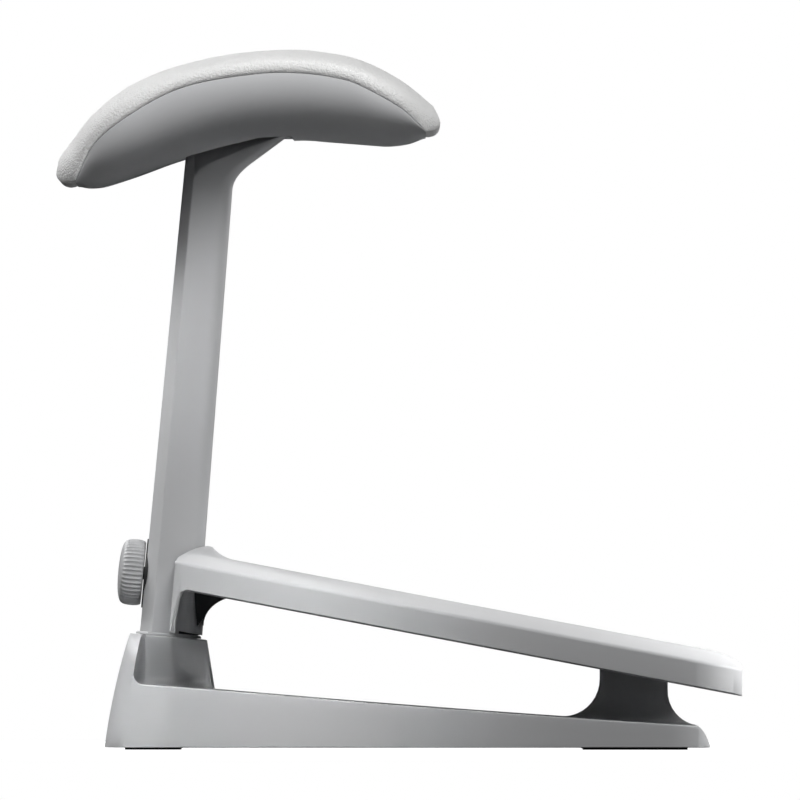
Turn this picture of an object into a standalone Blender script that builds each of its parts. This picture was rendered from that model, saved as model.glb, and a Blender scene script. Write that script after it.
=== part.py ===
"""Two-level foot and leg rest: base, leaning post, padded calf rest, and a deck that tilts with its clamp.

Metres, +Z up. +X points to the person who sits at it, Y runs across and the floor is at Z = 0.
"""
import math

import bmesh
import bpy
import numpy
from mathutils import Matrix

# Driving dimensions, in metres and degrees
GAP = 0.0003

RIM_LIFT = 0.00125
BASE_REAR = -0.1827
BASE_LENGTH = 0.3755
BASE_WIDTH = 0.256
BASE_WALL = 0.004
BASE_EDGE = 0.002
BASE_REAR_CORNER = 0.043
BASE_FRONT_CORNER = 0.017
SIDE_REAR_HEIGHT = 0.0372
SIDE_FRONT_HEIGHT = 0.0148
SIDE_SAG = 0.001
NOSE_LENGTH = 0.0078

PLATE_LIFT = 0.0022
PLATE_THICK = 0.004
PLATE_LEDGE = 0.002
FOOT_WIDTH = 0.050
REAR_FOOT_LENGTH = 0.0347
FRONT_FOOT_LENGTH = 0.065

TOWER_HEIGHT = 0.070
TOWER_DEPTH = 0.0473
TOWER_WIDTH = 0.078
TOWER_TOE = 0.0049
TOWER_BULGE = 0.0016
BUTTRESS_TOP = 0.0073
BUTTRESS_FOOT = 0.0100
SHOULDER_POWER = 2.6

PYLON_INSET = 0.0467
PYLON_DEPTH = 0.0421
PYLON_WIDTH = 0.064
PYLON_FILLET_SHARE = 0.77
PYLON_SINK = 0.0132
PIN_DIAMETER = 0.008

POST_INSET = 0.03925
POST_LEAN = 4.96
POST_FOOT_Z = 0.021
POST_DEPTH_FOOT = 0.0361
POST_DEPTH_HEAD = 0.0309
POST_WIDTH_FOOT = 0.064
POST_WIDTH_HEAD = 0.058
POST_WALL = 0.0045
POST_CORNER = 0.008
POST_CHAMFER_SHARE = 0.20
POST_CHAMFER_WIDTH = 0.013

HEAD_Z = 0.3475
HEAD_BEND = 0.0091
HEAD_SLOPE = 36.4
HEAD_FILLET = 0.008
HEAD_WING = 0.013

PAD_WIDTH = 0.330
PAD_CORNER = 0.050
PAD_OVERLAP = 0.0015
SHELL_WALL = 0.0035
SHELL_FLOOR = 0.0065
BOARD_THICK = 0.006
BOARD_WIDTH = 0.230

CLAMP_Z = 0.1094
TRAVEL = 0.045
STUD_DIAMETER = 0.008
SLOT_WIDTH = 0.009
KNOB_DIAMETER = 0.0412
KNOB_THICK = 0.0171
KNOB_STANDOFF = 0.0014
KNOB_RIBS = 52
RIB_HEIGHT = 0.0007
WASHER_DIAMETER = 0.037
WASHER_THICK = 0.0007

PIVOT_DROP = 0.0064
PIVOT_REACH = 0.0208
BRACKET_WIDTH = 0.066
YOKE_THICK = 0.0014
YOKE_REACH = 0.0350
LINER_THICK = 0.0007
LUG_THICK = 0.006
LUG_CLEAR = 0.0015

DECK_SLOPE = 10.73
DECK_OVERHANG = 0.02025
DECK_BACK = 0.0366
DECK_RISE = 0.0069
DECK_WIDTH = 0.270
DECK_WALL = 0.0032
DECK_FRONT_CORNER = 0.037
DECK_REAR_CORNER = 0.008
SKIRT = 0.0172
APRON_DROP = 0.0303
CROWN = 0.0068
LIP = 0.0056
RIM_BEVEL = 0.0022
ARCH = ((0.0032, 0.0), (0.0036, 0.0085), (0.0043, 0.0140), (0.0050, 0.0205), (0.0063, 0.0240),
        (0.0081, 0.0264), (0.0110, 0.0278))

# Calf pad outlines, as offsets from the middle of the post where its head begins
SEAM = ((-0.0810, 0.0044), (-0.0700, 0.0261), (-0.0534, 0.0419), (-0.0289, 0.0574), (-0.0041, 0.0664),
        (0.0332, 0.0721), (0.0580, 0.0724), (0.0795, 0.0696), (0.0952, 0.0648), (0.1210, 0.0494),
        (0.1360, 0.0347))
COVER_TOP = ((-0.0934, 0.0068), (-0.0896, 0.0219), (-0.0822, 0.0324), (-0.0710, 0.0462), (-0.0524, 0.0616),
             (-0.0289, 0.0732), (-0.0041, 0.0805), (0.0208, 0.0850), (0.0487, 0.0869), (0.0704, 0.0857),
             (0.0952, 0.0806), (0.1200, 0.0682), (0.1386, 0.0535), (0.1436, 0.0471), (0.1454, 0.0419))
HULL = ((-0.0810, 0.0034), (-0.0745, 0.0017), (-0.0672, 0.0018), (-0.0598, 0.0034), (-0.0412, 0.0095),
        (-0.0164, 0.0185), (0.0180, 0.0277), (0.0562, 0.0313), (0.0766, 0.0302), (0.1014, 0.0283),
        (0.1138, 0.0277), (0.1262, 0.0295), (0.1360, 0.0339))
SEAT = ((-0.0400, 0.0133), (0.0320, 0.0328), (0.0600, 0.0332))
POCKET_END = 0.0562
POCKET_WIDTH = 0.100
POCKET_CLEAR = 0.0015

# Derived places
BASE_FRONT = BASE_REAR + BASE_LENGTH
NOSE_X = BASE_FRONT - NOSE_LENGTH
POST_X = BASE_REAR + POST_INSET
LEAN = math.tan(math.radians(POST_LEAN))
TOWER_FRONT = POST_X + TOWER_DEPTH / 2 + TOWER_TOE
PYLON_X = BASE_FRONT - PYLON_INSET
PLATE_TOP = PLATE_LIFT + PLATE_THICK


def lerp(a, b, t):
    return a + (b - a) * t


def smooth(t):
    t = min(max(t, 0.0), 1.0)
    return t * t * (3 - 2 * t)


def post_axis_x(z):
    return POST_X + (z - TOWER_HEIGHT) * LEAN


def post_share(z):
    return (z - TOWER_HEIGHT) / (HEAD_Z - TOWER_HEIGHT)


def post_depth(z):
    return lerp(POST_DEPTH_FOOT, POST_DEPTH_HEAD, post_share(z))


def post_half_width(z):
    return lerp(POST_WIDTH_FOOT, POST_WIDTH_HEAD, post_share(z)) / 2


def post_rear_x(z):
    return post_axis_x(z) - post_depth(z) / 2


def post_front_x(z):
    return post_axis_x(z) + post_depth(z) / 2


FRONT_LEAN = math.atan(post_front_x(1.0) - post_front_x(0.0))
REAR_LEAN = math.atan(post_rear_x(1.0) - post_rear_x(0.0))
SLIDE_AXIS = (math.sin(FRONT_LEAN), 0.0, math.cos(FRONT_LEAN))
CLAMP_X = post_rear_x(CLAMP_Z)
PIVOT_Z = CLAMP_Z - PIVOT_DROP
PIVOT_X = post_front_x(PIVOT_Z) + PIVOT_REACH
DECK_FALL = math.tan(math.radians(DECK_SLOPE))
DECK_REAR = PIVOT_X - DECK_BACK
DECK_FRONT = BASE_FRONT + DECK_OVERHANG
APRON_Z = PIVOT_Z - APRON_DROP
LUG_INNER = BRACKET_WIDTH / 2 + LUG_CLEAR
LUG_OUTER = LUG_INNER + LUG_THICK
PAD_X = post_axis_x(HEAD_Z)
PAD_Z = HEAD_Z


def crease(x):
    """Height of the deck's edge, where the top turns down into the skirt."""
    return PIVOT_Z + DECK_RISE - (x - PIVOT_X) * DECK_FALL


FRONT_PIN_Z = crease(PYLON_X) - SKIRT + 0.0088


def slot_shift():
    """How far the front pin goes along the deck's slot while the carriage goes from one end to the other."""
    start = (PYLON_X - PIVOT_X, FRONT_PIN_Z - PIVOT_Z)
    end = (start[0] - TRAVEL * SLIDE_AXIS[0], start[1] - TRAVEL * SLIDE_AXIS[2])
    slope = math.radians(DECK_SLOPE)
    off = start[0] * math.sin(slope) + start[1] * math.cos(slope)
    along_start = math.sqrt(start[0] ** 2 + start[1] ** 2 - off ** 2)
    along_end = math.sqrt(end[0] ** 2 + end[1] ** 2 - off ** 2)
    return along_end - along_start


def side_top(x):
    """Height of the base's long side edge."""
    t = (x - TOWER_FRONT) / (NOSE_X - TOWER_FRONT)
    sag = SIDE_SAG * 4 * t * (1 - t) if 0 < t < 1 else 0.0
    return lerp(SIDE_REAR_HEIGHT, SIDE_FRONT_HEIGHT, t) - sag


def tower_top(x):
    return TOWER_HEIGHT - (x - POST_X) * LEAN


def tower_rear_x(z):
    t = (z - RIM_LIFT) / (tower_top(POST_X - TOWER_DEPTH / 2) - RIM_LIFT)
    return lerp(BASE_REAR, POST_X - TOWER_DEPTH / 2, t) - TOWER_BULGE * 4 * t * (1 - t)


def corner_half(x, rear, front, half, rear_corner, front_corner):
    """Half width of a rounded plan outline at x."""
    if x < rear + rear_corner:
        away = min(rear + rear_corner - x, rear_corner)
        return half - rear_corner + math.sqrt(rear_corner ** 2 - away ** 2)
    if x > front - front_corner:
        away = min(x - front + front_corner, front_corner)
        return half - front_corner + math.sqrt(front_corner ** 2 - away ** 2)
    return half


def base_half(x, inset=0.0):
    return corner_half(x, BASE_REAR + inset, BASE_FRONT - inset, BASE_WIDTH / 2 - inset,
                       BASE_REAR_CORNER - inset, BASE_FRONT_CORNER - inset)


def curve_height(points):
    """A height function through the given points, as a smooth Catmull-Rom curve over x."""
    xs, zs = [], []
    ends = [points[0]] + list(points) + [points[-1]]
    for a, b, c, d in zip(ends, ends[1:], ends[2:], ends[3:]):
        for step in range(8):
            t = step / 8
            weights = ((-t + 2 * t * t - t ** 3) / 2, (2 - 5 * t * t + 3 * t ** 3) / 2,
                       (t + 4 * t * t - 3 * t ** 3) / 2, (t ** 3 - t * t) / 2)
            xs.append(sum(w * p[0] for w, p in zip(weights, (a, b, c, d))))
            zs.append(sum(w * p[1] for w, p in zip(weights, (a, b, c, d))))
    xs.append(points[-1][0])
    zs.append(points[-1][1])
    return lambda x: float(numpy.interp(x - PAD_X, xs, zs)) + PAD_Z


def reset_scene():
    for obj in list(bpy.data.objects):
        bpy.data.objects.remove(obj)


def add_collection(name):
    found = bpy.data.collections.new(name)
    bpy.context.scene.collection.children.link(found)
    return found


reset_scene()
PARTS = add_collection("foot_and_leg_rest")
CUTTERS = add_collection("cutters")


def paint(name, colour, roughness, metallic=0.0):
    made = bpy.data.materials.new(name)
    made.use_nodes = True
    shader = made.node_tree.nodes["Principled BSDF"]
    shader.inputs["Base Color"].default_value = (*colour, 1.0)
    shader.inputs["Roughness"].default_value = roughness
    shader.inputs["Metallic"].default_value = metallic
    made.diffuse_color = (*colour, 1.0)
    return made


CAST = paint("painted casting", (0.62, 0.63, 0.64), 0.55)
PLASTIC = paint("grey plastic", (0.55, 0.56, 0.57), 0.50)
LEATHER = paint("white leather", (0.86, 0.86, 0.85), 0.55)
BOARD = paint("board", (0.45, 0.34, 0.22), 0.80)
STEEL = paint("plated steel", (0.55, 0.55, 0.56), 0.35, 1.0)
BLACK_STEEL = paint("black steel", (0.03, 0.03, 0.03), 0.40, 1.0)
RUBBER = paint("black rubber", (0.02, 0.02, 0.02), 0.85)
NYLON = paint("black nylon", (0.04, 0.04, 0.04), 0.55)


def piece(name, mesh, material):
    obj = bpy.data.objects.new(name, mesh)
    mesh.materials.clear()
    mesh.materials.append(material)
    PARTS.objects.link(obj)
    return obj


def tool(name, mesh):
    obj = bpy.data.objects.new(name, mesh)
    CUTTERS.objects.link(obj)
    obj.hide_render = True
    obj.display_type = "WIRE"
    return obj


def combine(obj, mesh, operation, name):
    change = obj.modifiers.new(name, "BOOLEAN")
    change.operation = operation
    change.solver = "EXACT"
    change.object = tool(obj.name + " " + name, mesh)


def cut(obj, mesh, name):
    combine(obj, mesh, "DIFFERENCE", name)


def join(obj, mesh, name):
    combine(obj, mesh, "UNION", name)


def move_origin(obj, point):
    """Put an object's own origin on its joint's axis and leave its shape where it is."""
    obj.data.transform(Matrix.Translation([-c for c in point]))
    obj.location = point


def finished(obj):
    """The evaluated mesh of a scratch object, welded; the scratch object goes."""
    bpy.context.view_layer.update()
    mesh = bpy.data.meshes.new_from_object(obj.evaluated_get(bpy.context.evaluated_depsgraph_get()))
    form = bmesh.new()
    form.from_mesh(mesh)
    bmesh.ops.remove_doubles(form, verts=form.verts, dist=0.000002)
    bmesh.ops.recalc_face_normals(form, faces=form.faces)
    form.to_mesh(mesh)
    form.free()
    bpy.data.objects.remove(obj)
    return mesh


def end_cap(form, ring, half):
    """Close a mirrored ring with one face from row to row; points of one row share their x and z."""
    count = len(ring)
    rows = [[0]]
    for i in range(1, len(half)):
        same = abs(half[i][0] - half[i - 1][0]) + abs(half[i][2] - half[i - 1][2]) < 1e-9
        if same:
            rows[-1].append(i)
        else:
            rows.append([i])
    for number, (low, high) in enumerate(zip(rows, rows[1:])):
        widens = half[low[-1]][1] > half[low[0]][1]
        narrows = half[high[-1]][1] < half[high[0]][1]
        lower = low if number == 0 or widens else low[-1:]
        upper = high if number == len(rows) - 2 or narrows else high[:1]
        left = lower + upper
        right = [count - 1 - i for i in reversed(left)]
        form.faces.new([ring[i] for i in left + right])


def loft(stations):
    """A closed skin through half sections: lists of (x, y, z) with y above 0, mirrored over y = 0."""
    form = bmesh.new()
    rings = []
    for half in stations:
        ring = [form.verts.new((x, -y, z)) for x, y, z in half]
        ring += [form.verts.new((x, y, z)) for x, y, z in reversed(half)]
        rings.append(ring)
    count = len(rings[0])
    for first, second in zip(rings, rings[1:]):
        for i in range(count):
            j = (i + 1) % count
            form.faces.new((first[i], first[j], second[j], second[i]))
    end_cap(form, rings[0], stations[0])
    end_cap(form, rings[-1], stations[-1])
    bmesh.ops.recalc_face_normals(form, faces=form.faces)
    bmesh.ops.triangulate(form, faces=form.faces)
    mesh = bpy.data.meshes.new("loft")
    form.to_mesh(mesh)
    form.free()
    return mesh


def prism(outline, thickness, matrix):
    """A flat outline with a thickness, centred on its own plane."""
    flat = bpy.data.curves.new("outline", "CURVE")
    flat.dimensions = "2D"
    flat.fill_mode = "BOTH"
    flat.extrude = thickness / 2
    line = flat.splines.new("POLY")
    line.points.add(len(outline) - 1)
    for point, (u, v) in zip(line.points, outline):
        point.co = (u, v, 0.0, 1.0)
    line.use_cyclic_u = True
    obj = bpy.data.objects.new("outline", flat)
    CUTTERS.objects.link(obj)
    mesh = finished(obj)
    mesh.transform(matrix)
    return mesh


def side_prism(outline, y_from, y_to):
    """An outline in the side view (x, z), from one y to another."""
    place = Matrix.Translation((0, (y_from + y_to) / 2, 0)) @ Matrix.Rotation(math.pi / 2, 4, "X")
    return prism(outline, abs(y_to - y_from), place)


def turned(profile, segments, matrix=None, closed=False):
    """A turned form about Z: (radius, height) points from the top down the outside."""
    mesh = bpy.data.meshes.new("turned")
    edges = [(i, i + 1) for i in range(len(profile) - 1)]
    if closed:
        edges.append((len(profile) - 1, 0))
    mesh.from_pydata([(r, 0, z) for r, z in profile], edges, [])
    obj = bpy.data.objects.new("turned", mesh)
    CUTTERS.objects.link(obj)
    spin = obj.modifiers.new("spin", "SCREW")
    spin.steps = segments
    spin.render_steps = segments
    spin.use_merge_vertices = True
    spin.merge_threshold = 0.000002
    result = finished(obj)
    if matrix is not None:
        result.transform(matrix)
    return result


def rod(radius, bottom, top, segments, matrix=None):
    """A round bar along Z between two heights."""
    circle = rounded(0, 0, radius, 0, 360 - 360 / segments, segments - 1)
    lift = Matrix.Translation((0, 0, (bottom + top) / 2))
    return prism(circle, top - bottom, lift if matrix is None else matrix @ lift)


def ring(outer, inner, bottom, top, segments, matrix=None):
    profile = [(outer, top), (outer, bottom), (inner, bottom), (inner, top)]
    return turned(profile, segments, matrix, closed=True)


def pan_screw(head, head_height, shank, length):
    """A pan-head screw that points down -Z from under its head at z = 0."""
    return turned([(0, head_height), (head * 0.7, head_height), (head, head_height * 0.5), (head, 0),
                   (shank, 0), (shank, -length), (0, -length)], 12)


def across(x, z):
    """A frame whose Z lies along Y, at a place in the side view."""
    return Matrix.Translation((x, 0, z)) @ Matrix.Rotation(-math.pi / 2, 4, "X")


def rounded(cx, cz, radius, start, end, steps):
    angles = [math.radians(lerp(start, end, i / steps)) for i in range(steps + 1)]
    return [(cx + radius * math.cos(a), cz + radius * math.sin(a)) for a in angles]


CLAMP_FRAME = Matrix.Translation((CLAMP_X, 0, CLAMP_Z)) @ Matrix.Rotation(REAR_LEAN - math.pi / 2, 4, "Y")


def clamp_point(out, up=0.0):
    """A point in the side view: distance out of the post's back along the clamp axis, and up the post."""
    x = CLAMP_X - out * math.cos(REAR_LEAN) + up * math.sin(REAR_LEAN)
    z = CLAMP_Z + out * math.sin(REAR_LEAN) + up * math.cos(REAR_LEAN)
    return x, z


# Base: one long loft with the flared tower at the back, then the pylon and the hollow

def base_station(x, kind, foot_back=0.0, top_back=0.0):
    """Half section of the base. The rear wall leans with the back face, at the two offsets from it."""
    inner = TOWER_WIDTH / 2
    side = side_top(x)
    high = tower_top(x)
    width = base_half(BASE_REAR + foot_back) if kind == "wall" else base_half(x)
    if x > NOSE_X:
        share = (x - NOSE_X) / NOSE_LENGTH
        side = lerp(side_top(NOSE_X), RIM_LIFT + 0.0016, share ** 1.7)
    edge = min(BASE_EDGE, (side - RIM_LIFT) * 0.6)
    tuck = 0.0 if kind == "wall" else edge
    half = [(width * 0.3, RIM_LIFT), (width, RIM_LIFT), (width, side - edge),
            (width - 0.3 * tuck, side - 0.3 * edge), (width - tuck, side)]
    foot = inner + 0.002
    for angle in (15, 30, 45, 58, 70, 80, 87, 90):
        a = math.radians(angle)
        rise = math.sin(a) ** (2 / SHOULDER_POWER) if kind == "wall" else 0.0
        reach = abs(math.cos(a)) ** (2 / SHOULDER_POWER)
        half.append((lerp(foot, width - tuck, reach), lerp(side, high, rise)))
    top = side if kind == "slab" else high
    half.append((inner, top))
    half.append((inner * 0.4, top))
    if kind != "wall":
        return [(x, y, z) for y, z in half]
    placed = []
    for y, z in half:
        t = min(max((z - side) / (high - side), 0.0), 1.0)
        placed.append((tower_rear_x(z) + lerp(foot_back, top_back, t), y, z))
    return placed


def base_mesh():
    rear_top = POST_X - TOWER_DEPTH / 2
    stations = []
    for share in (0.0, 0.07, 0.25, 0.55, 1.0):
        back = BUTTRESS_TOP * share
        stations.append(base_station(rear_top + back, "wall", BUTTRESS_FOOT * share, back))
    foot = max(point[0] for point in stations[-1])
    stations.append(base_station(foot + 0.004, "tower"))
    stations.append(base_station(lerp(foot, POST_X, 0.6), "tower"))
    stations.append(base_station(POST_X + 0.006, "tower"))
    stations.append(base_station(TOWER_FRONT - TOWER_TOE, "tower"))
    stations.append(base_station(TOWER_FRONT, "slab"))
    for t in (0.2, 0.4, 0.6, 0.8, 0.93):
        stations.append(base_station(lerp(TOWER_FRONT, NOSE_X, t), "slab"))
    for t in (0.0, 0.25, 0.45, 0.65, 0.82, 0.94, 1.0):
        stations.append(base_station(NOSE_X + NOSE_LENGTH * t, "slab"))
    return loft(stations)


def pylon_mesh():
    rear = PYLON_X - PYLON_DEPTH / 2
    front = PYLON_X + PYLON_DEPTH / 2
    half = PYLON_WIDTH / 2
    corner = PYLON_DEPTH / 7
    fillet = PYLON_FILLET_SHARE * (crease(PYLON_X) - PYLON_SINK - side_top(PYLON_X))
    start = 0.016 * fillet

    def flare(h, radius):
        away = max(radius - max(h, start), 0.0)
        return radius - math.sqrt(radius ** 2 - away ** 2)

    stations = []
    for h in (-0.08 * fillet, start, 0.08 * fillet, 0.2 * fillet, 0.4 * fillet, 0.68 * fillet, fillet):
        back = flare(h, fillet)
        ahead = flare(h, fillet * 0.8)
        outline = pylon_outline(rear - back, front + ahead, half + back, corner + back * 0.6)
        stations.append([(x, y, side_top(x) + h) for x, y in outline])
    stations.append([(x, y, crease(x) - PYLON_SINK) for x, y in pylon_outline(rear, front, half, corner)])
    return loft(stations)


def pylon_outline(rear, front, half, corner):
    outline = [(rear, half * 0.4)]
    outline += rounded(rear + corner, half - corner, corner, 180, 90, 3)
    outline += rounded(front - corner, half - corner, corner, 90, 0, 3)
    outline.append((front, half * 0.4))
    return outline


def post_outline(z, grow=0.0):
    """Half plan outline of the post at a height, from the back round to the front."""
    rear = post_rear_x(z) - grow
    front = post_front_x(z) + grow
    half = post_half_width(z) + grow
    chamfer = POST_CHAMFER_SHARE * post_depth(z)
    corner = POST_CORNER + grow
    outline = [(rear, half * 0.3), (rear, half - POST_CHAMFER_WIDTH), (rear + chamfer, half)]
    outline += rounded(front - corner, half - corner, corner, 90, 0, 4)
    outline.append((front, half * 0.3))
    return outline


def post_stack(heights, grow=0.0):
    return loft([[(x, y, z) for x, y in post_outline(z, grow)] for z in heights])


def plan_outline(inset):
    """Full plan outline of the base, drawn in by an inset."""
    rear = BASE_REAR + inset
    front = BASE_FRONT - inset
    half = BASE_WIDTH / 2 - inset
    back = BASE_REAR_CORNER - inset
    ahead = max(BASE_FRONT_CORNER - inset, 0.004)
    outline = rounded(front - ahead, half - ahead, ahead, 0, 90, 4)
    outline += rounded(rear + back, half - back, back, 90, 180, 6)
    outline += rounded(rear + back, back - half, back, 180, 270, 6)
    outline += rounded(front - ahead, ahead - half, ahead, 270, 360, 4)
    return outline


PLATE_INSET = BASE_WALL + NOSE_LENGTH * 0.5
SCREW_PLACES = [(lerp(TOWER_FRONT, NOSE_X, t), side * BASE_WIDTH * 0.36)
                for t in (0.12, 0.62) for side in (-1, 1)]
BOLT_Y = POST_WIDTH_FOOT * 0.22
BOLT_X = post_axis_x(POST_FOOT_Z)


def hollow_mesh():
    """The hollow under the base's deck, in front of the tower."""
    stations = []
    for t in (0.0, 0.25, 0.5, 0.75, 1.0):
        x = lerp(TOWER_FRONT + BASE_WALL, NOSE_X - BASE_FRONT_CORNER * 0.6, t)
        half = BASE_WIDTH / 2 - PLATE_INSET - PLATE_LEDGE
        if x > NOSE_X - BASE_FRONT_CORNER:
            half -= BASE_FRONT_CORNER * 0.3
        roof = side_top(x) - BASE_WALL
        stations.append([(x, half * 0.3, -0.01), (x, half, -0.01), (x, half, roof), (x, half * 0.3, roof)])
    return loft(stations)


def build_base():
    base = piece("base_shell", base_mesh(), CAST)
    cut(base, hollow_mesh(), "hollow")
    recess = prism(plan_outline(PLATE_INSET), PLATE_TOP + GAP + 0.010,
                   Matrix.Translation((0, 0, (PLATE_TOP + GAP - 0.010) / 2)))
    cut(base, recess, "plate recess")
    join(base, pylon_mesh(), "pylon")
    boss_half = PYLON_WIDTH / 2 + 0.0008
    join(base, rod(0.0085, -boss_half, boss_half, 24, across(PYLON_X, FRONT_PIN_Z)), "pin boss")
    rear = PYLON_X - PYLON_DEPTH / 2 + BASE_WALL
    front = PYLON_X + PYLON_DEPTH / 2 - BASE_WALL
    half = PYLON_WIDTH / 2 - BASE_WALL
    core = [[(x, y, z) for x, y in pylon_outline(rear, front, half, 0.004)]
            for z in (-0.01, FRONT_PIN_Z - 0.016)]
    cut(base, loft(core), "pylon hollow")
    pin_bore = rod(PIN_DIAMETER / 2 + 0.0002, -PYLON_WIDTH, PYLON_WIDTH, 24, across(PYLON_X, FRONT_PIN_Z))
    cut(base, pin_bore, "pin bore")
    for number, (x, y) in enumerate(SCREW_PLACES, 1):
        boss = rod(0.0048, PLATE_TOP + GAP, side_top(x) - BASE_WALL / 2, 16, Matrix.Translation((x, y, 0)))
        join(base, boss, f"screw boss {number}")
        pilot = rod(0.0023, -0.001, PLATE_TOP + 0.011, 12, Matrix.Translation((x, y, 0)))
        cut(base, pilot, f"screw pilot {number}")
    cut(base, post_stack((POST_FOOT_Z - GAP, tower_top(BASE_REAR) + 0.01), 0.0004), "post socket")
    for number, side in enumerate((-1, 1), 1):
        place = Matrix.Translation((BOLT_X, side * BOLT_Y, 0))
        cut(base, rod(0.0044, -0.01, POST_FOOT_Z + 0.002, 16, place), f"bolt bore {number}")
        cut(base, rod(0.0072, -0.01, POST_FOOT_Z - 0.0070, 16, place), f"bolt counterbore {number}")
    return base


def build_underside():
    plate = piece("ballast_plate",
                  prism(plan_outline(PLATE_INSET + 0.0006), PLATE_THICK,
                        Matrix.Translation((0, 0, PLATE_LIFT + PLATE_THICK / 2))), BLACK_STEEL)
    for number, (x, y) in enumerate(SCREW_PLACES, 1):
        place = Matrix.Translation((x, y, PLATE_LIFT))
        hole = turned([(0, 0.010), (0.0023, 0.010), (0.0023, 0.0022), (0.0048, -0.0003),
                       (0.0048, -0.005), (0, -0.005)], 12, place)
        cut(plate, hole, f"screw hole {number}")
        screw = turned([(0, 0.014), (0.0019, 0.014), (0.0019, 0.0022), (0.0041, 0.0), (0, 0.0)], 12)
        made = piece(f"plate_screw_{number}", screw, STEEL)
        made.location = (x, y, PLATE_LIFT)
    rear_x = BASE_REAR + PLATE_INSET + 0.0047 + REAR_FOOT_LENGTH / 2
    front_x = BASE_FRONT - PLATE_INSET - 0.006 - FRONT_FOOT_LENGTH / 2
    places = (("rear", rear_x, REAR_FOOT_LENGTH, BASE_WIDTH * 0.27),
              ("front", front_x, FRONT_FOOT_LENGTH, BASE_WIDTH * 0.34))
    for end, x, length, y in places:
        for hand, side in (("left", 1), ("right", -1)):
            corner = 0.006
            long = length / 2 - corner
            wide = FOOT_WIDTH / 2 - corner
            outline = rounded(long, wide, corner, 0, 90, 4) + rounded(-long, wide, corner, 90, 180, 4)
            outline += rounded(-long, -wide, corner, 180, 270, 4) + rounded(long, -wide, corner, 270, 360, 4)
            thick = PLATE_LIFT - GAP
            pad = piece(f"foot_pad_{end}_{hand}", prism(outline, thick, Matrix.Identity(4)), RUBBER)
            pad.location = (x, side * y, thick / 2)


def build_post_bolts():
    for number, side in enumerate((-1, 1), 1):
        seat = POST_FOOT_Z - 0.0070 - GAP
        bolt = turned([(0, 0.026), (0.0040, 0.026), (0.0040, 0.0), (0.0065, 0.0),
                       (0.0065, -0.0055), (0, -0.0055)], 14)
        made = piece(f"post_bolt_{number}", bolt, BLACK_STEEL)
        made.location = (BOLT_X, side * BOLT_Y, seat)


# Post with its head, slots and seat

def head_front_x(z):
    away = z - HEAD_Z - HEAD_BEND
    run = 1 / math.tan(math.radians(HEAD_SLOPE)) - math.tan(FRONT_LEAN)
    if away <= -HEAD_FILLET:
        return post_front_x(z)
    if away >= HEAD_FILLET:
        return post_front_x(z) + run * away
    return post_front_x(z) + run * (away + HEAD_FILLET) ** 2 / (4 * HEAD_FILLET)


def head_outline(z):
    shift = head_front_x(z) - post_front_x(z)
    outline = post_outline(z)
    return [(x, y) for x, y in outline[:3]] + [(x + shift, y) for x, y in outline[3:]]


def seat_z(x, lower=0.0):
    xs = [p[0] + PAD_X for p in SEAT]
    zs = [p[1] + PAD_Z for p in SEAT]
    return float(numpy.interp(x, xs, zs)) - lower


def wing_mesh():
    """The flare of the head on both sides, just under the pad."""
    rear = post_rear_x(HEAD_Z + 0.015) + 0.006
    front = PAD_X + SEAT[-1][0] - 0.014
    stations = []
    for t in (0.0, 0.12, 0.3, 0.5, 0.75, 1.0):
        x = lerp(rear, front, t)
        top = seat_z(x) + 0.004
        band = lerp(0.0125, 0.0032, math.sqrt(t))
        low = seat_z(x) - band
        half = post_half_width(HEAD_Z) - 0.0015
        wide = half + HEAD_WING * lerp(0.75, 1.0, smooth(t * 3)) * lerp(1.0, 0.55, t)
        stations.append([(x, half * 0.5, low), (x, half, low), (x, wide, seat_z(x) - 0.0016),
                         (x, wide, top), (x, half * 0.5, top)])
    return loft(stations)


def slot_prism(low, high, out_from, out_to):
    """A slot along the post for the clamp, between two heights above the clamp axis."""
    radius = SLOT_WIDTH / 2
    outline = [(x, y + high) for x, y in rounded(0, 0, radius, 0, 180, 8)]
    outline += [(x, y + low) for x, y in rounded(0, 0, radius, 180, 360, 8)]
    turn = Matrix(((0, 1, 0, 0), (1, 0, 0, 0), (0, 0, -1, 0), (0, 0, 0, 1)))
    place = CLAMP_FRAME @ Matrix.Translation((0, 0, (out_from + out_to) / 2)) @ turn
    return prism(outline, abs(out_to - out_from), place)


HEAD_SCREWS = [(PAD_X + dx, side * 0.015) for dx in (-0.006, 0.018) for side in (-1, 1)]
SEAT_TILT = math.atan2(SEAT[1][1] - SEAT[0][1], SEAT[1][0] - SEAT[0][0])
KEY_LOW = -0.0250


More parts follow.
